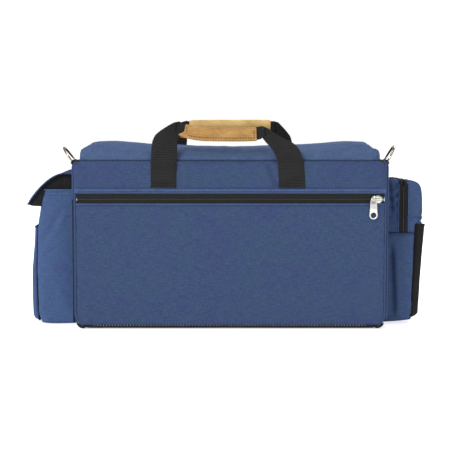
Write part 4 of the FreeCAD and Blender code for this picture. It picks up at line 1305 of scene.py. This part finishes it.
def flap_point(u, thick):
    pts = FLAP
    i = min(len(pts) - 2, int(u * (len(pts) - 1)))
    f = u * (len(pts) - 1) - i
    p = pts[i].lerp(pts[i + 1], f)
    a = pts[max(0, i - 1)]
    b = pts[min(len(pts) - 1, i + 2)]
    t = (b - a).normalized()
    n = Vector((t.z, 0, -t.x))
    if n.z < 0:
        n = -n
    return p + n * thick, t, n


FLAP = resample([(x, 0, z) for x, z in FO], 80, 2)


def flap_skin(name, t0, t1, hy, mat, body, nodes, u0=0.0, u1=1.0, seed=131.0, wave=1.0, rounded=8.0, edge=1.0, **kw):
    verts, faces = [], []
    us = [u0 + (u1 - u0) * i / 64 for i in range(65)]
    ys = [-hy, -hy + 0.5, -hy + 1.6, -hy + 3.2] + [-hy + 3.2 + (2 * hy - 6.4) * i / 34 for i in range(1, 34)] + [hy - 3.2, hy - 1.6, hy - 0.5, hy]
    m, k = len(ys), len(us)
    Ltot = 92.0
    for side in (0, 1):
        for u in us:
            d_end = (u1 - u) * Ltot
            cut = rounded - math.sqrt(max(0.0, rounded ** 2 - (rounded - d_end) ** 2)) if d_end < rounded else 0.0
            for y in ys:
                yy = y * (hy - cut) / hy
                d = min(hy - abs(y), d_end)
                roll = math.sqrt(max(0.0, 1 - (1 - clamp(d / 1.6)) ** 2))
                th = t1 if side == 0 else t0
                mid = (t0 + t1) / 2
                h = mid + (th - mid) * roll
                w = wave * (0.7 * fbm(u * 90, yy, 0, 45, seed) * S(0, 0.25, u) - 0.45 * gauss(abs(hy - abs(y)) - 3.4, 0.7) * (1 - side) * edge - 0.45 * gauss(d_end - 3.4, 0.7) * (1 - side) * edge)
                p, t, n = flap_point(u, h + w)
                # the long sides droop a little
                droop = -1.8 * S(hy * 0.75, hy, abs(y)) * S(0.25, 0.9, u)
                verts.append(Vector((p.x, yy, p.z)) + n * droop)
    off = m * k
    for j in range(k - 1):
        for i in range(m - 1):
            a = j * m + i
            faces.append((a, a + 1, a + m + 1, a + m))
            faces.append((off + a, off + a + m, off + a + m + 1, off + a + 1))
        for i in (0, m - 1):
            a = j * m + i
            faces.append((a, a + m, off + a + m, off + a))
    for i in range(m - 1):
        for j in (0, k - 1):
            a = j * m + i
            faces.append((a, a + 1, off + a + 1, off + a))
    return finish_mesh(name, verts, faces, mat, body, nodes, **kw)


outer = flap_skin("left_flap_outer", -1.4, 0.3, 71.6, BLUE, None, ("left_flap_shell", "left_flap_root"), slot="blue_fabric")
innr = flap_skin("left_flap_lining_cloth", -2.9, -1.5, 70.4, BLACKF, None, ("left_flap_lining",), u0=0.02, u1=0.985, wave=0.55, edge=0.0, slot="lining")
for o in (outer, innr):
    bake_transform(o)
# stitched edge: a bead along the two sides and the free end, in the lighter edge cloth: painted highlight
bead = []
for s_ in (-1, 1):
    line = [flap_point(0.22 + 0.7 * i / 30, -0.3)[0] + Vector((0, s_ * 71.7, 0)) + flap_point(0.22 + 0.7 * i / 30, 0)[2] * (-1.8 * S(0.25, 0.9, 0.22 + 0.7 * i / 30)) for i in range(31)]
    tube("left_flap_bead_%s" % ("near" if s_ < 0 else "far"), line, 0.85, BLUE_EDGE_LIT, "left_flap", n=8)
    rowp = [flap_point(0.22 + 0.7 * i / 30, 0.2)[0] + Vector((0, s_ * 68.3, 0)) + flap_point(0.22 + 0.7 * i / 30, 0)[2] * (-1.2 * S(0.25, 0.9, 0.22 + 0.7 * i / 30)) for i in range(31)]
    bead.append((rowp, tuple(flap_point(0.6, 0)[2])))
tube("left_flap_bead_end", [flap_point(0.995, -0.5)[0] + Vector((0, y, 0)) for y in range(-60, 61, 5)], 0.9, BLUE_EDGE_LIT, "left_flap", n=8)
stitches("left_flap_thread", bead, THREAD_BLUE, "left_flap", 1.9, 1.4, 0.65, 0.5)


# black side wings that hang from the flap and close the gap over the pouch's mouth; a slit between the two parts clears
# the pouch's wall. They are black like the flap's lining and stand in for the deep shade under the flap: dark sheets of
# painted shade
def wing(name, poly, y, body):
    pts = resample([Vector((a, b, 0)) for a, b in poly + poly[:1]], 81, 0)[:-1]
    sg = 1 if y > 0 else -1
    return plate(name, [(p.x, p.y) for p in pts], [], (0, y, 0), X, Z, (0, sg, 0), 0.9, 0.25, BLACKF, body, slot="lining")


for sg, nm in ((-1, "near"), (1, "far")):
    wing("left_flap_wing_" + nm, [(-241.0, 215.4), (-248.5, 213.4), (-255.3, 209.8), (-265.6, 202.4), (-269.0, 198.5), (-268.6, 186.0), (-256, 184.0), (-241.0, 184.0)], sg * 65.2, "left_flap")
    wing("left_flap_root_wing_" + nm, [(-221.4, 214.6), (-232, 215.4), (-240.9, 215.4), (-240.9, 184.0), (-221.4, 184.0)], sg * 65.2, "root")
    wing("left_flap_tab_" + nm, [(-268.6, 197.6), (-274.0, 194.6), (-282.4, 186.4), (-291.4, 172.6), (-285, 170.6), (-271.8, 169.9), (-269.6, 184.0)], sg * 66.0, "left_flap")


# right pocket: a boxy pouch with a zip that opens its upper outer part
RP = [(5, 262.0), (9, 264.6), (40, 265.7), (100, 266.4), (132, 267.0), (143, 267.6), (148, 270.0), (152.5, 272.2), (155.6, 272.8)]


def right_fold(x, y, z, side):
    w = 1.1 * fbm(x, y, z * 1.3, 60, 201.0) + 0.45 * fbm(x, y, z, 20, 202.0)
    near = 1 - side
    w += near * 1.5 * math.sin(math.pi * clamp((x - 221) / 45)) * S(8, 60, z) * S(150, 120, z)
    # an upright fold beside the bag's seam, and puckers that slant up from it
    fx = 234.0 + 1.6 * nz(0, 0, z, 60, 203.0) - (z - 60) * 0.03
    w += near * (-6.2 * gauss(x - fx, 3.1) + 2.6 * gauss(x - fx - 7.0, 3.6)) * S(6, 24, z) * S(124, 92, z)
    w += near * 0.9 * gauss((x - 246) * 0.8 + (z - 24) * 0.5, 4.0) * S(4, 10, z)
    w -= 0.6 * gauss(z - 10.5, 1.5)
    w -= 0.7 * gauss(z - 130.8, 1.2)
    return (5.5 * math.tanh(w / 5.5) if w < 0 else 2.8 * math.tanh(w / 2.8)) - 0.3


rz = [5.0, 5.6, 6.8, 8.6, 10.5, 12.6] + [15 + i * 3.0 for i in range(39)] + [130.8, 132.0, 135, 139, 143, 147, 150, 152.5, 154.4, 155.2]
# the right pocket and its door use the lighter copy of the cloth: painted light
pocket_wall("right_pocket_pouch", RP, 219.5, 69.6, rz, 1.9, BLUE_HALF_LIT, "root", ("right_pocket_shell",), right_fold, r=5.0, slot="blue_fabric")


def upper_fold(x, y, z):
    fx = 231.0 + 0.6 * (z - 150) * 0.1
    w = 0.7 * fbm(x, y, z, 40, 211.0) + 0.3 * fbm(x, y, z, 15, 212.0)
    for k, (a, b) in enumerate(((176.0, 0.55), (190.0, 0.6), (163.0, 0.35))):
        w += (2.0 * gauss((z - a) - b * (x - 232), 2.6) - 2.4 * gauss((z - a - 5.6) - b * (x - 232), 2.4)) * S(246, 240, x) * S(221, 226, x)
    w -= 3.2 * gauss(x - 228.5 - 0.10 * (200 - z), 3.0) * S(150, 170, z) * S(209, 203, z)
    return w


# the fixed upper part beside the bag, as a box with rounded top edges: near wall, top and far wall
def arch(name, x0, x1, hy, zt, z0, r, thick, mat, body, nodes, fold, nx=14, top_drop=None, **kw):
    # an upside-down U of cloth round the pouch's upper part
    xs_ = [x0 + (x1 - x0) * i / nx for i in range(nx + 1)]
    path = [(-hy, z0 + (zt - r - z0) * i / 16, (-1, 0)) for i in range(17)]
    path += [(-hy + r - r * math.cos(a), zt - r + r * math.sin(a), (-math.cos(a), math.sin(a))) for a in [math.pi / 2 * i / 7 for i in range(1, 8)]]
    path += [(-hy + r + (2 * hy - 2 * r) * i / 30, zt, (0, 1)) for i in range(1, 31)]
    path += [(hy - r + r * math.sin(a), zt - r + r * math.cos(a), (math.sin(a), math.cos(a))) for a in [math.pi / 2 * i / 7 for i in range(1, 8)]]
    path += [(hy, zt - r - (zt - r - z0) * i / 16, (1, 0)) for i in range(1, 17)]
    verts, faces = [], []
    m, k = len(xs_), len(path)
    for layer in (0.0, thick):
        for (y, z, n) in path:
            for x in xs_:
                w = fold(x, y, z) - layer
                dz = top_drop(x) * clamp((z - z0) / (zt - z0)) if top_drop else 0.0
                verts.append(Vector((x, y + n[0] * w, z + n[1] * w - dz)))
    off = m * k
    for j in range(k - 1):
        for i in range(m - 1):
            a = j * m + i
            faces.append((a, a + 1, a + m + 1, a + m))
            faces.append((off + a, off + a + m, off + a + m + 1, off + a + 1))
        for i in (0, m - 1):
            a = j * m + i
            faces.append((a, a + m, off + a + m, off + a))
    for i in range(m - 1):
        for j in (0, k - 1):
            a = j * m + i
            faces.append((a, a + 1, off + a + 1, off + a))
    return finish_mesh(name, verts, faces, mat, body, nodes, **kw)


arch("right_pocket_upper", 219.5, 245.0, 69.8, 208.6, 131.0, 10, 1.9, BLUE_HALF_LIT, "root", (), upper_fold, nx=26,
     top_drop=lambda x: 0.0 + interp([(219, -3.6), (224, -2.2), (232, -0.4), (245, 0.6)], x), slot="blue_fabric")
# zip tapes in an upside-down U, with the coil between them
tape_fold = lambda x, y, z: 0.15 * nz(x, y, z, 12, 221.0)
arch("right_zip_inner", 242.6, 248.4, 70.6, 209.0, 132.5, 10, 1.1, TAPE, "root", ("right_zip_tape_inner",), tape_fold, nx=4, slot="zip_tape")
arch("right_zip_outer", 249.4, 255.8, 70.6, 208.6, 156.0, 10, 1.1, TAPE, "right_door", ("right_zip_tape_outer",), tape_fold, nx=4, slot="zip_tape")
panel("right_zip_outer_low", (0, -69.9, 0), X, Z, (0, -1, 0), 249.3, 255.8, 132.6, 155.6, 1.0, 1.2, TAPE, "root", na=3, nb=12)
panel("right_zip_outer_low_far", (0, 69.9, 0), X, Z, (0, 1, 0), 249.3, 255.8, 132.6, 155.6, 1.0, 1.2, TAPE, "root", na=3, nb=12)
for nm, yy in (("near", -70.9), ("far", 70.9)):
    tube("right_zip_coil_" + nm, [(248.9, yy, z) for z in range(133, 200, 2)], 0.62, COIL, "root", n=6)
tube("right_zip_coil_top", [(248.9, -60 + i * 4, 209.2) for i in range(31)], 0.6, COIL, "root", n=6)

# the door: the outer upper part, which swings out and down
DP = [(156.2, 271.0), (160, 273.0), (165, 274.6), (172, 275.2), (180, 274.9), (190, 274.4), (197, 273.0)]


def door():
    verts, faces = [], []
    # section in X-Z: out along the top, round the shoulder, down the outer wall
    sec = [(254.0, 208.2), (258, 207.7), (262, 207.0), (266, 205.9), (270.0, 204.0), (273.0, 200.8), (274.8, 196.4), (275.9, 190), (276.6, 183), (276.9, 176), (277.1, 169), (277.1, 164.0), (276.8, 160.0), (276.2, 156.8)]
    line = resample([(x, 0, z) for x, z in sec], 44, 1)
    hy = 69.8
    ys = [-hy, -hy + 0.5, -hy + 1.8, -hy + 3.8] + [-hy + 3.8 + (2 * hy - 7.6) * i / 30 for i in range(1, 30)] + [hy - 3.8, hy - 1.8, hy - 0.5, hy]
    m, k = len(ys), len(line)
    for layer in (0.0, 1.8):
        for i, p in enumerate(line):
            a, b = line[max(0, i - 1)], line[min(k - 1, i + 1)]
            t = (b - a).normalized()
            n = Vector((-t.z, 0, t.x))
            if n.x + n.z < 0:
                n = -n
            for y in ys:
                e = clamp((hy - abs(y)) / 3.8)
                roll = 3.0 * (1 - math.sqrt(max(0.0, 1 - (1 - e) ** 2)))
                w = (0.7 * fbm(p.x, y, p.z, 34, 231.0) + 0.25 * fbm(p.x, y, p.z, 12, 232.0)) * S(0, 8, hy - abs(y)) - roll - layer
                verts.append(Vector((p.x, y, p.z)) + n * w)
    off = m * k
    for j in range(k - 1):
        for i in range(m - 1):
            a = j * m + i
            faces.append((a, a + 1, a + m + 1, a + m))
            faces.append((off + a, off + a + m, off + a + m + 1, off + a + 1))
        for i in (0, m - 1):
            a = j * m + i
            faces.append((a, a + m, off + a + m, off + a))
    for i in range(m - 1):
        for j in (0, k - 1):
            a = j * m + i
            faces.append((a, a + 1, off + a + 1, off + a))
    return finish_mesh("right_door_wall", verts, faces, BLUE_HALF_LIT, "right_door", ("right_pocket_door",), slot="blue_fabric"), line


door_obj, door_line = door()


def prism_y(name, outline, y0, y1, mat, body, seed):
    """A sewn roll of cloth along the pocket's outer edge: its section runs along y, with soft waves."""
    ring = resample([(x, 0, z) for x, z in outline + outline[:1]], 48, 1)[:-1]
    n = 34
    verts, faces = [], []
    m = len(ring)
    cx = sum(p.x for p in ring) / m
    cz = sum(p.z for p in ring) / m
    for i in range(n + 1):
        y = y0 + (y1 - y0) * i / n
        e = clamp(min(i, n - i) / 1.0)
        for p in ring:
            w = 0.35 * fbm(p.x, y, p.z, 22, seed) * e
            k = 1.0 - 0.025 * (1 - e)
            verts.append(Vector((cx + (p.x - cx) * k + w * 0.6, y, cz + (p.z - cz) * k + w * 0.3)))
    for i in range(n):
        for j in range(m):
            a, b = i * m + j, i * m + (j + 1) % m
            faces.append((a, b, b + m, a + m))
    faces.append(tuple(range(m - 1, -1, -1)))
    faces.append(tuple(n * m + j for j in range(m)))
    return finish_mesh(name, verts, faces, mat, body)


def door_side(name, sg):
    """The door's near or far wall, sewn to the edge of the outer wall."""
    x0 = 253.6
    rows_ = []
    for i in range(25):
        z = 155.1 + (207.4 - 155.1) * i / 24
        xo = interp([(154.8, 274.2), (156.2, 274.8), (160, 275.1), (165, 275.4), (172, 275.5), (180, 275.2), (190, 274.5), (196, 273.0), (200, 270.9), (203, 267.6), (205.2, 263.4), (206.8, 258.0), (207.4, 254.0)], z)
        rows_.append((z, max(xo, x0 + 0.6)))
    verts, faces = [], []
    m = 13
    for layer in (0.0, 1.7):
        for z, xo in rows_:
            for j in range(m):
                x = x0 + (xo - x0) * j / (m - 1)
                dz = -0.0
                e = math.sqrt(max(0.0, 1 - (1 - clamp((xo - x) / 2.6)) ** 2)) if xo - x < 2.6 else 1.0
                w = 1.1 * math.sin(math.pi * clamp((x - x0) / 20)) * math.sin(math.pi * clamp((z - 156) / 52)) + 0.45 * fbm(x, 0, z, 20, 241.0 + sg)
                y = sg * (69.6 + (w + 0.2) * e + 0.9 * S(158.6, 155.6, z) * e - 2.4 * (1 - e) - layer)
                verts.append(Vector((x, y, z)))
    k = len(rows_)
    off = m * k
    for j in range(k - 1):
        for i in range(m - 1):
            a = j * m + i
            faces.append((a, a + 1, a + m + 1, a + m))
            faces.append((off + a, off + a + m, off + a + m + 1, off + a + 1))
        for i in (0, m - 1):
            a = j * m + i
            faces.append((a, a + m, off + a + m, off + a))
    for i in range(m - 1):
        for j in (0, k - 1):
            a = j * m + i
            faces.append((a, a + 1, off + a + 1, off + a))
    return finish_mesh(name, verts, faces, BLUE_HALF_LIT, "right_door", slot="blue_fabric")


door_side("right_door_near", -1)
door_side("right_door_far", 1)
# the crease that the door turns on: a narrow strip of the same cloth
crease = prism_y("right_door_crease", [(268.5, 150.8), (272.0, 149.9), (274.8, 149.2), (276.3, 150.6), (276.8, 153.6), (276.6, 157.0), (275.4, 158.4), (273.4, 157.2), (271.2, 155.3), (268.5, 154.0)], -67.2, 67.2, BLUE_HALF_LIT, None, 251.5)
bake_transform(crease)
prism_y("right_pocket_rim_fold", [(264.8, 136.0), (272.0, 136.0), (275.9, 138.5), (276.5, 143.0), (276.5, 147.6), (275.4, 149.2), (272.0, 150.4), (264.8, 151.0)], -66.8, 66.8, BLUE_HALF_LIT, "root", 252.5)
# seam below the zip, with its thread, and a finished upper edge
# the seam below the zip is dark cloth: the seam line, with the shade in it painted into its colour
tube("right_pocket_seam", [(222 + i * 1.5, -70.8 - 0.1 * nz(i, 0, 0, 4, 5.0), 131.9) for i in range(30)], 0.75, BLUE_DARK, "root", n=8)
stitches("right_pocket_thread", [[Vector((222 + i * 2.0, -71.0, 128.6)) for i in range(21)]], THREAD_NAVY, "root", 1.8, 1.3, 0.55, 0.5)
# the top bead is in the lighter edge cloth: painted highlight
tube("right_pocket_top_bead", [(246.2, -62 + 4 * i, 209.0) for i in range(32)], 0.7, BLUE_EDGE_LIT, "root", n=8)
slip("right_slip_pocket_wall", 1, [(5, 271.6), (12, 273.2), (31, 274.3), (45, 274.9), (60, 275.4), (88, 277.7), (103, 279.1), (138, 281.4), (147, 281.8)], [(5, 259.3), (30, 261.6), (100, 264.6), (150, 266.4)], 69.3, 5, 145.0, "root", ("right_slip_pocket",), 251.0)

base_r = rounded_u(221.0, 261.0, 67.6, 5.0, step=4.0)
tube("right_pocket_base_cord", [Vector((x, y, 4.0 + 3.6 * clamp((x - 221) / 42) ** 1.5 + 0.3 * nz(x, y, 0, 20, 6.5))) for x, y in base_r], 1.7, BLUE, "root", n=10)
# the pouch's foot rises towards its outer corner
for nm in ("right_pocket_pouch", "right_slip_pocket_wall"):
    for v in bpy.data.objects[nm].data.vertices:
        x, z = v.co.x * 1000, v.co.z * 1000
        if x > 221 and z < 45:
            v.co.z += 0.001 * 4.2 * clamp((x - 221) / 45) ** 1.5 * (1 - z / 45) ** 2

# folded cloth edges beside the zip tape, in the lighter edge cloth: painted highlight
for tag, yy in (("near", -1), ("far", 1)):
    tube("right_zip_fold_" + tag, [(242.3, yy * 70.9, z) for z in range(133, 204, 3)], 0.62, BLUE_EDGE_LIT, "root", n=8)
    tube("right_zip_fold_low_" + tag, [(256.3, yy * 70.4, z) for z in range(133, 155, 3)], 0.62, BLUE_EDGE_LIT, "root", n=8)
    tube("right_door_fold_" + tag, [(256.3, yy * 70.9, z) for z in range(159, 203, 3)], 0.62, BLUE_EDGE_LIT, "right_door", n=8)
# the slip pocket's mouth sags between its corners
for nm in ("right_slip_pocket_wall", "right_slip_pocket_wall_hem"):
    for v in bpy.data.objects[nm].data.vertices:
        v.co.z -= 0.0034 * S(69.4, 57, abs(v.co.y) * 1000) * S(112, 145, v.co.z * 1000)
# the soft top settles towards the far side
for nm in ("right_pocket_upper", "right_zip_inner", "right_zip_outer", "right_zip_coil_top", "right_zip_coil_far", "right_pocket_top_bead", "right_door_wall", "right_door_far"):
    for v in bpy.data.objects[nm].data.vertices:
        v.co.z -= 0.0034 * S(-62, 5, v.co.y * 1000) * S(150, 205, v.co.z * 1000)

# ------------------------------------------------------------------ D-rings
def loft_tab(name, sg, node):
    """A folded strap that holds the ring: down the bag's end, up and round the ring's bar."""
    cx, cz, r = sg * 231.0, 231.0, 3.2
    pts = [(sg * 224.0, 0, 219.0), (sg * 224.2, 0, 226.0), (sg * 224.8, 0, 230.0), (sg * 226.8, 0, 232.8)]
    for a in [140, 115, 90, 65, 40, 15, -10, -35, -60, -85, -110]:
        pts.append((cx + sg * r * math.cos(math.radians(a)), 0, cz + r * math.sin(math.radians(a))))
    pts += [(sg * 228.2, 0, 226.0), (sg * 226.6, 0, 223.4), (sg * 226.2, 0, 219.4)]
    line = resample([Vector(p) for p in pts], 60, 1)
    prof = [(-17.2, -0.55), (-16.4, -1.0), (16.4, -1.0), (17.2, -0.55), (17.2, 0.55), (16.4, 1.0), (-16.4, 1.0), (-17.2, 0.55)]
    full = []
    # a denser section, so that the cloth can crease
    for i in range(25):
        full.append((-17.0 + 34.0 * i / 24, -1.0 if 0 < i < 24 else -0.6))
    for i in range(25):
        full.append((17.0 - 34.0 * i / 24, 1.0 if 0 < i < 24 else 0.6))
    verts, faces, m = [], [], len(full)
    for i, p in enumerate(line):
        a, b = line[max(0, i - 1)], line[min(len(line) - 1, i + 1)]
        t = (b - a).normalized()
        n = Vector((t.z, 0, -t.x))
        for s, h in full:
            verts.append(p + Vector((0, s, 0)) + n * (h * 0.9 + 0.25 * nz(p.x, s, p.z, 10, 261.0 + sg)))
    for i in range(len(line) - 1):
        for j in range(m):
            faces.append((i * m + j, i * m + (j + 1) % m, (i + 1) * m + (j + 1) % m, (i + 1) * m + j))
    faces.append(tuple(range(m)))
    faces.append(tuple((len(line) - 1) * m + j for j in range(m)))
    return finish_mesh(name, verts, faces, BLACKF, "root", (node,), slot="black_fabric")


loft_tab("d_ring_tab_cloth_left", -1, "d_ring_tab_left")
loft_tab("d_ring_tab_cloth_right", 1, "d_ring_tab_right")
for sg, nm in ((-1, "left"), (1, "right")):
    stitches("d_ring_tab_thread_" + nm, [[Vector((sg * 227.4, y, 222.4)) for y in range(-15, 16, 3)]], THREAD_BLACK, "root", 2.2, 1.2, 0.6, 0.5, (sg, 0, 0))

def slider(name, C, A, B, N, body, nodes, L=15.6, W=12.4):
    """Base plate, two domed wings and a bridge that holds the pull, with dark gaps between them."""
    C, A, B, N = Vector(C), Vector(A), Vector(B), Vector(N)
    l, w = L / 2, W / 2
    base = [(-l, -w * 0.62), (-l * 0.2, -w * 0.86), (l * 0.35, -w), (l * 0.92, -w * 0.42), (l, 0), (l * 0.92, w * 0.42), (l * 0.35, w), (-l * 0.2, w * 0.86), (-l, w * 0.62), (-l * 1.02, 0)]
    pts = resample([Vector((a, b, 0)) for a, b in base + base[:1]], 61, 1)[:-1]
    plate(name + "_plate", [(p.x, p.y) for p in pts], [], C, A, B, N, 1.3, 0.3, NICKEL, body, nodes, slot="nickel")
    for sg in (-1, 1):
        # each wing is a little domed pad, higher towards the zip's middle
        loop = [(-l * 0.82, 0.2 * w), (-l * 0.1, 0.2 * w), (l * 0.8, 0.2 * w), (l * 0.9, 0.34 * w), (l * 0.33, 0.93 * w), (-l * 0.2, 0.79 * w), (-l * 0.86, 0.56 * w)]
        edge = resample([Vector((a, b * sg, 0)) for a, b in loop + loop[:1]], 49, 1)[:-1]
        c = sum(edge, Vector()) / len(edge)
        rings_, faces = [], []
        for k, (f, h) in enumerate(((1.0, 1.1), (1.0, 1.9), (0.93, 2.5), (0.8, 2.9), (0.55, 3.15), (0.25, 3.25))):
            rings_ += [C + A * (c.x + (p.x - c.x) * f) + B * (c.y + (p.y - c.y) * f) + N * h for p in edge]
        m = len(edge)
        for k in range(5):
            for i in range(m):
                faces.append((k * m + i, k * m + (i + 1) % m, (k + 1) * m + (i + 1) % m, (k + 1) * m + i))
        faces.append(tuple(range(m)))
        faces.append(tuple(5 * m + i for i in range(m)))
        finish_mesh("%s_wing_%s" % (name, "a" if sg < 0 else "b"), rings_, faces, NICKEL, body, slot="nickel")
    arch_pts = [(-l * 0.9, 0.9), (-l * 0.84, 1.8), (-l * 0.62, 2.35), (-l * 0.2, 2.45), (l * 0.2, 2.45), (l * 0.55, 2.2), (l * 0.74, 1.6), (l * 0.8, 0.9)]
    line = resample([C + A * a + N * h for a, h in arch_pts], 40, 2)
    sweep(name + "_bridge", line, [(-1.15, -0.5), (-0.8, -0.7), (0.8, -0.7), (1.15, -0.5), (1.15, 0.3), (0.75, 0.6), (-0.75, 0.6), (-1.15, 0.3)], NICKEL, body, up=N)


def pull(name, C, D, Wv, N, length, top_half, ring_r, hole_r, t, body, node):
    """A tapered pull: an eye round the pin, a plain tongue, and a ring end."""
    C, D, Wv, N = Vector(C), Vector(D), Vector(Wv), Vector(N)
    loop = [(-3.3, -top_half * 0.55), (-3.3, top_half * 0.55), (-2.2, top_half * 0.92), (0.6, top_half), (length * 0.4, top_half * 1.13), (length - ring_r * 2.0, ring_r * 0.9)]
    loop += [(length - ring_r + ring_r * math.cos(math.radians(a)), ring_r * math.sin(math.radians(a))) for a in range(96, -97, -12)]
    loop += [(length - ring_r * 2.0, -ring_r * 0.9), (length * 0.4, -top_half * 1.13), (0.6, -top_half), (-2.2, -top_half * 0.92)]
    pts = resample([Vector((a, b, 0)) for a, b in loop + loop[:1]], 111, 1)[:-1]
    plate(name + "_tongue", [(p.x, p.y) for p in pts], [(0.0, 0.0, 1.5), (length - ring_r, 0.0, hole_r)], C, D, Wv, N, t, 0.34, NICKEL, body, (node,), slot="nickel")


slider("front_slider_metal", (206.3, -115.3, 183.4), X, Z, (0, -1, 0), "front_slider", ("front_slider",))
tube("front_slider_pin", [(200.8, y, 182.0) for y in (-117.4, -118.4, -119.6, -120.7, -121.0)], 1.15, NICKEL, "front_slider", n=14)
pull("front_pull_metal", (200.8, -118.6, 182.0), (0, 0, -1), X, (0, -1, 0), 26.6, 4.5, 5.9, 3.8, 1.6, "front_pull", "front_pull")
for sg, nm in ((-1, "left"), (1, "right")):
    slider("lid_slider_metal_" + nm, (sg * 11.5, 116.2, 239.2), (sg, 0, 0), Z, Y, "lid_slider_" + nm, ("lid_slider_" + nm,), 14.0, 11.6)
    tube("lid_slider_pin_" + nm, [(sg * 15.0, y, 237.6) for y in (118.2, 119.2, 120.4, 121.5, 121.9)], 1.1, NICKEL, "lid_slider_" + nm, n=14)
    pull("lid_pull_metal_" + nm, (sg * 15.0, 119.4, 237.6), (0, 0, -1), X, Y, 21.0, 2.7, 3.6, 1.9, 1.6, "lid_pull_" + nm, "lid_pull_" + nm)
slider("right_slider_metal", (249.0, 71.7, 166.0), (0, 0, -1), X, Y, "right_slider", ("right_slider",), 14.0, 11.6)
tube("right_slider_pin", [(249.0, y, 162.5) for y in (73.4, 74.2, 75.4, 76.5, 76.9)], 1.1, NICKEL, "right_slider", n=14)
pull("right_pull_metal", (249.0, 74.4, 162.5), (0, 0, -1), X, Y, 24.0, 3.2, 4.4, 2.2, 1.6, "right_pull", "right_pull")


def ring_path(sg, lean):
    pts = [(0, y, 0) for y in range(-18, 19, 3)]
    pts += [(0, 20 - 1.2, 0.3), (0, 20, 1.4), (0, 20, 4)]
    pts += [(0, 20 * math.cos(a), 6 + 20 * math.sin(a)) for a in [math.pi * i / 30 for i in range(31)]]
    pts += [(0, -20, 4), (0, -20, 1.4), (0, -18.8, 0.3)]
    m = Matrix.Rotation(sg * math.radians(lean), 3, "Y")
    return [m @ Vector(p) + Vector((sg * 231.0, 0, 231.0)) for p in pts]


tube("d_ring_wire_left", ring_path(-1, 36), 1.75, CHROME, "d_ring_left", ("d_ring_left",), closed=True, n=18, slot="chrome_wire")
tube("d_ring_wire_right", ring_path(1, 28), 1.75, CHROME, "d_ring_right", ("d_ring_right",), closed=True, n=18, slot="chrome_wire")

# ------------------------------------------------------- camera and lighting
world = bpy.data.worlds.new("studio")
world.use_nodes = True
bpy.context.scene.world = world
bg = world.node_tree.nodes["Background"]
bg.inputs[0].default_value = (1.0, 1.0, 1.0, 1)
bg.inputs[1].default_value = 0.46
# the backdrop itself is white; only its light is softer
bg2 = world.node_tree.nodes.new("ShaderNodeBackground")
bg2.inputs[0].default_value = (1, 1, 1, 1)
bg2.inputs[1].default_value = 1.0
ray = world.node_tree.nodes.new("ShaderNodeLightPath")
mixw = world.node_tree.nodes.new("ShaderNodeMixShader")
world.node_tree.links.new(ray.outputs["Is Camera Ray"], mixw.inputs[0])
world.node_tree.links.new(bg.outputs[0], mixw.inputs[1])
world.node_tree.links.new(bg2.outputs[0], mixw.inputs[2])
world.node_tree.links.new(mixw.outputs[0], world.node_tree.nodes["World Output"].inputs[0])


def area(name, loc, target, size, power, colour=(1, 1, 1)):
    d = bpy.data.lights.new(name, "AREA")
    d.shape = "RECTANGLE"
    d.size, d.size_y = size
    d.energy = power
    d.color = colour
    o = bpy.data.objects.new(name, d)
    bpy.context.scene.collection.objects.link(o)
    o.location = loc
    o.rotation_euler = (Vector(target) - Vector(loc)).to_track_quat("-Z", "Y").to_euler()
    return o


area("key", (-1.5, -2.3, 2.3), (0, 0, 0.15), (1.1, 1.1), 78, (1.0, 0.99, 0.97))
area("fill", (2.2, -2.2, 1.0), (0, 0, 0.12), (2.0, 1.6), 10, (0.97, 0.98, 1.0))
area("top", (0.0, -0.6, 2.4), (0, 0, 0.2), (1.4, 1.4), 17)
area("back", (1.6, 2.4, 2.0), (0, 0, 0.15), (1.6, 1.6), 34)

me = bpy.data.meshes.new("studio_floor")
me.from_pydata([(-9, -9, -0.0012), (9, -9, -0.0012), (9, 9, -0.0012), (-9, 9, -0.0012)], [], [(0, 1, 2, 3)])
floor = bpy.data.objects.new("studio_floor", me)
bpy.context.scene.collection.objects.link(floor)
fm = bpy.data.materials.new("studio_floor")
fm.use_nodes = True
fm.node_tree.nodes["Principled BSDF"].inputs["Base Color"].default_value = (0.9, 0.9, 0.9, 1)
fm.node_tree.nodes["Principled BSDF"].inputs["Emission Color"].default_value = (1, 1, 1, 1)
fm.node_tree.nodes["Principled BSDF"].inputs["Emission Strength"].default_value = 0.72
fm.node_tree.nodes["Principled BSDF"].inputs["Roughness"].default_value = 0.9
me.materials.append(fm)

cam_data = bpy.data.cameras.new("camera")
cam = bpy.data.objects.new("camera", cam_data)
bpy.context.scene.collection.objects.link(cam)
cam_data.sensor_width = 36
cam_data.lens = 105.1
cam.location = (-0.0038, -1.975, 0.308)
cam.rotation_euler = (math.radians(90 - 5.05), 0, 0)
cam_data.clip_end = 60
bpy.context.scene.camera = cam
vs_ = bpy.context.scene.view_settings
vs_.view_transform = "Standard"
vs_.look = "None"
vs_.exposure = 0.0
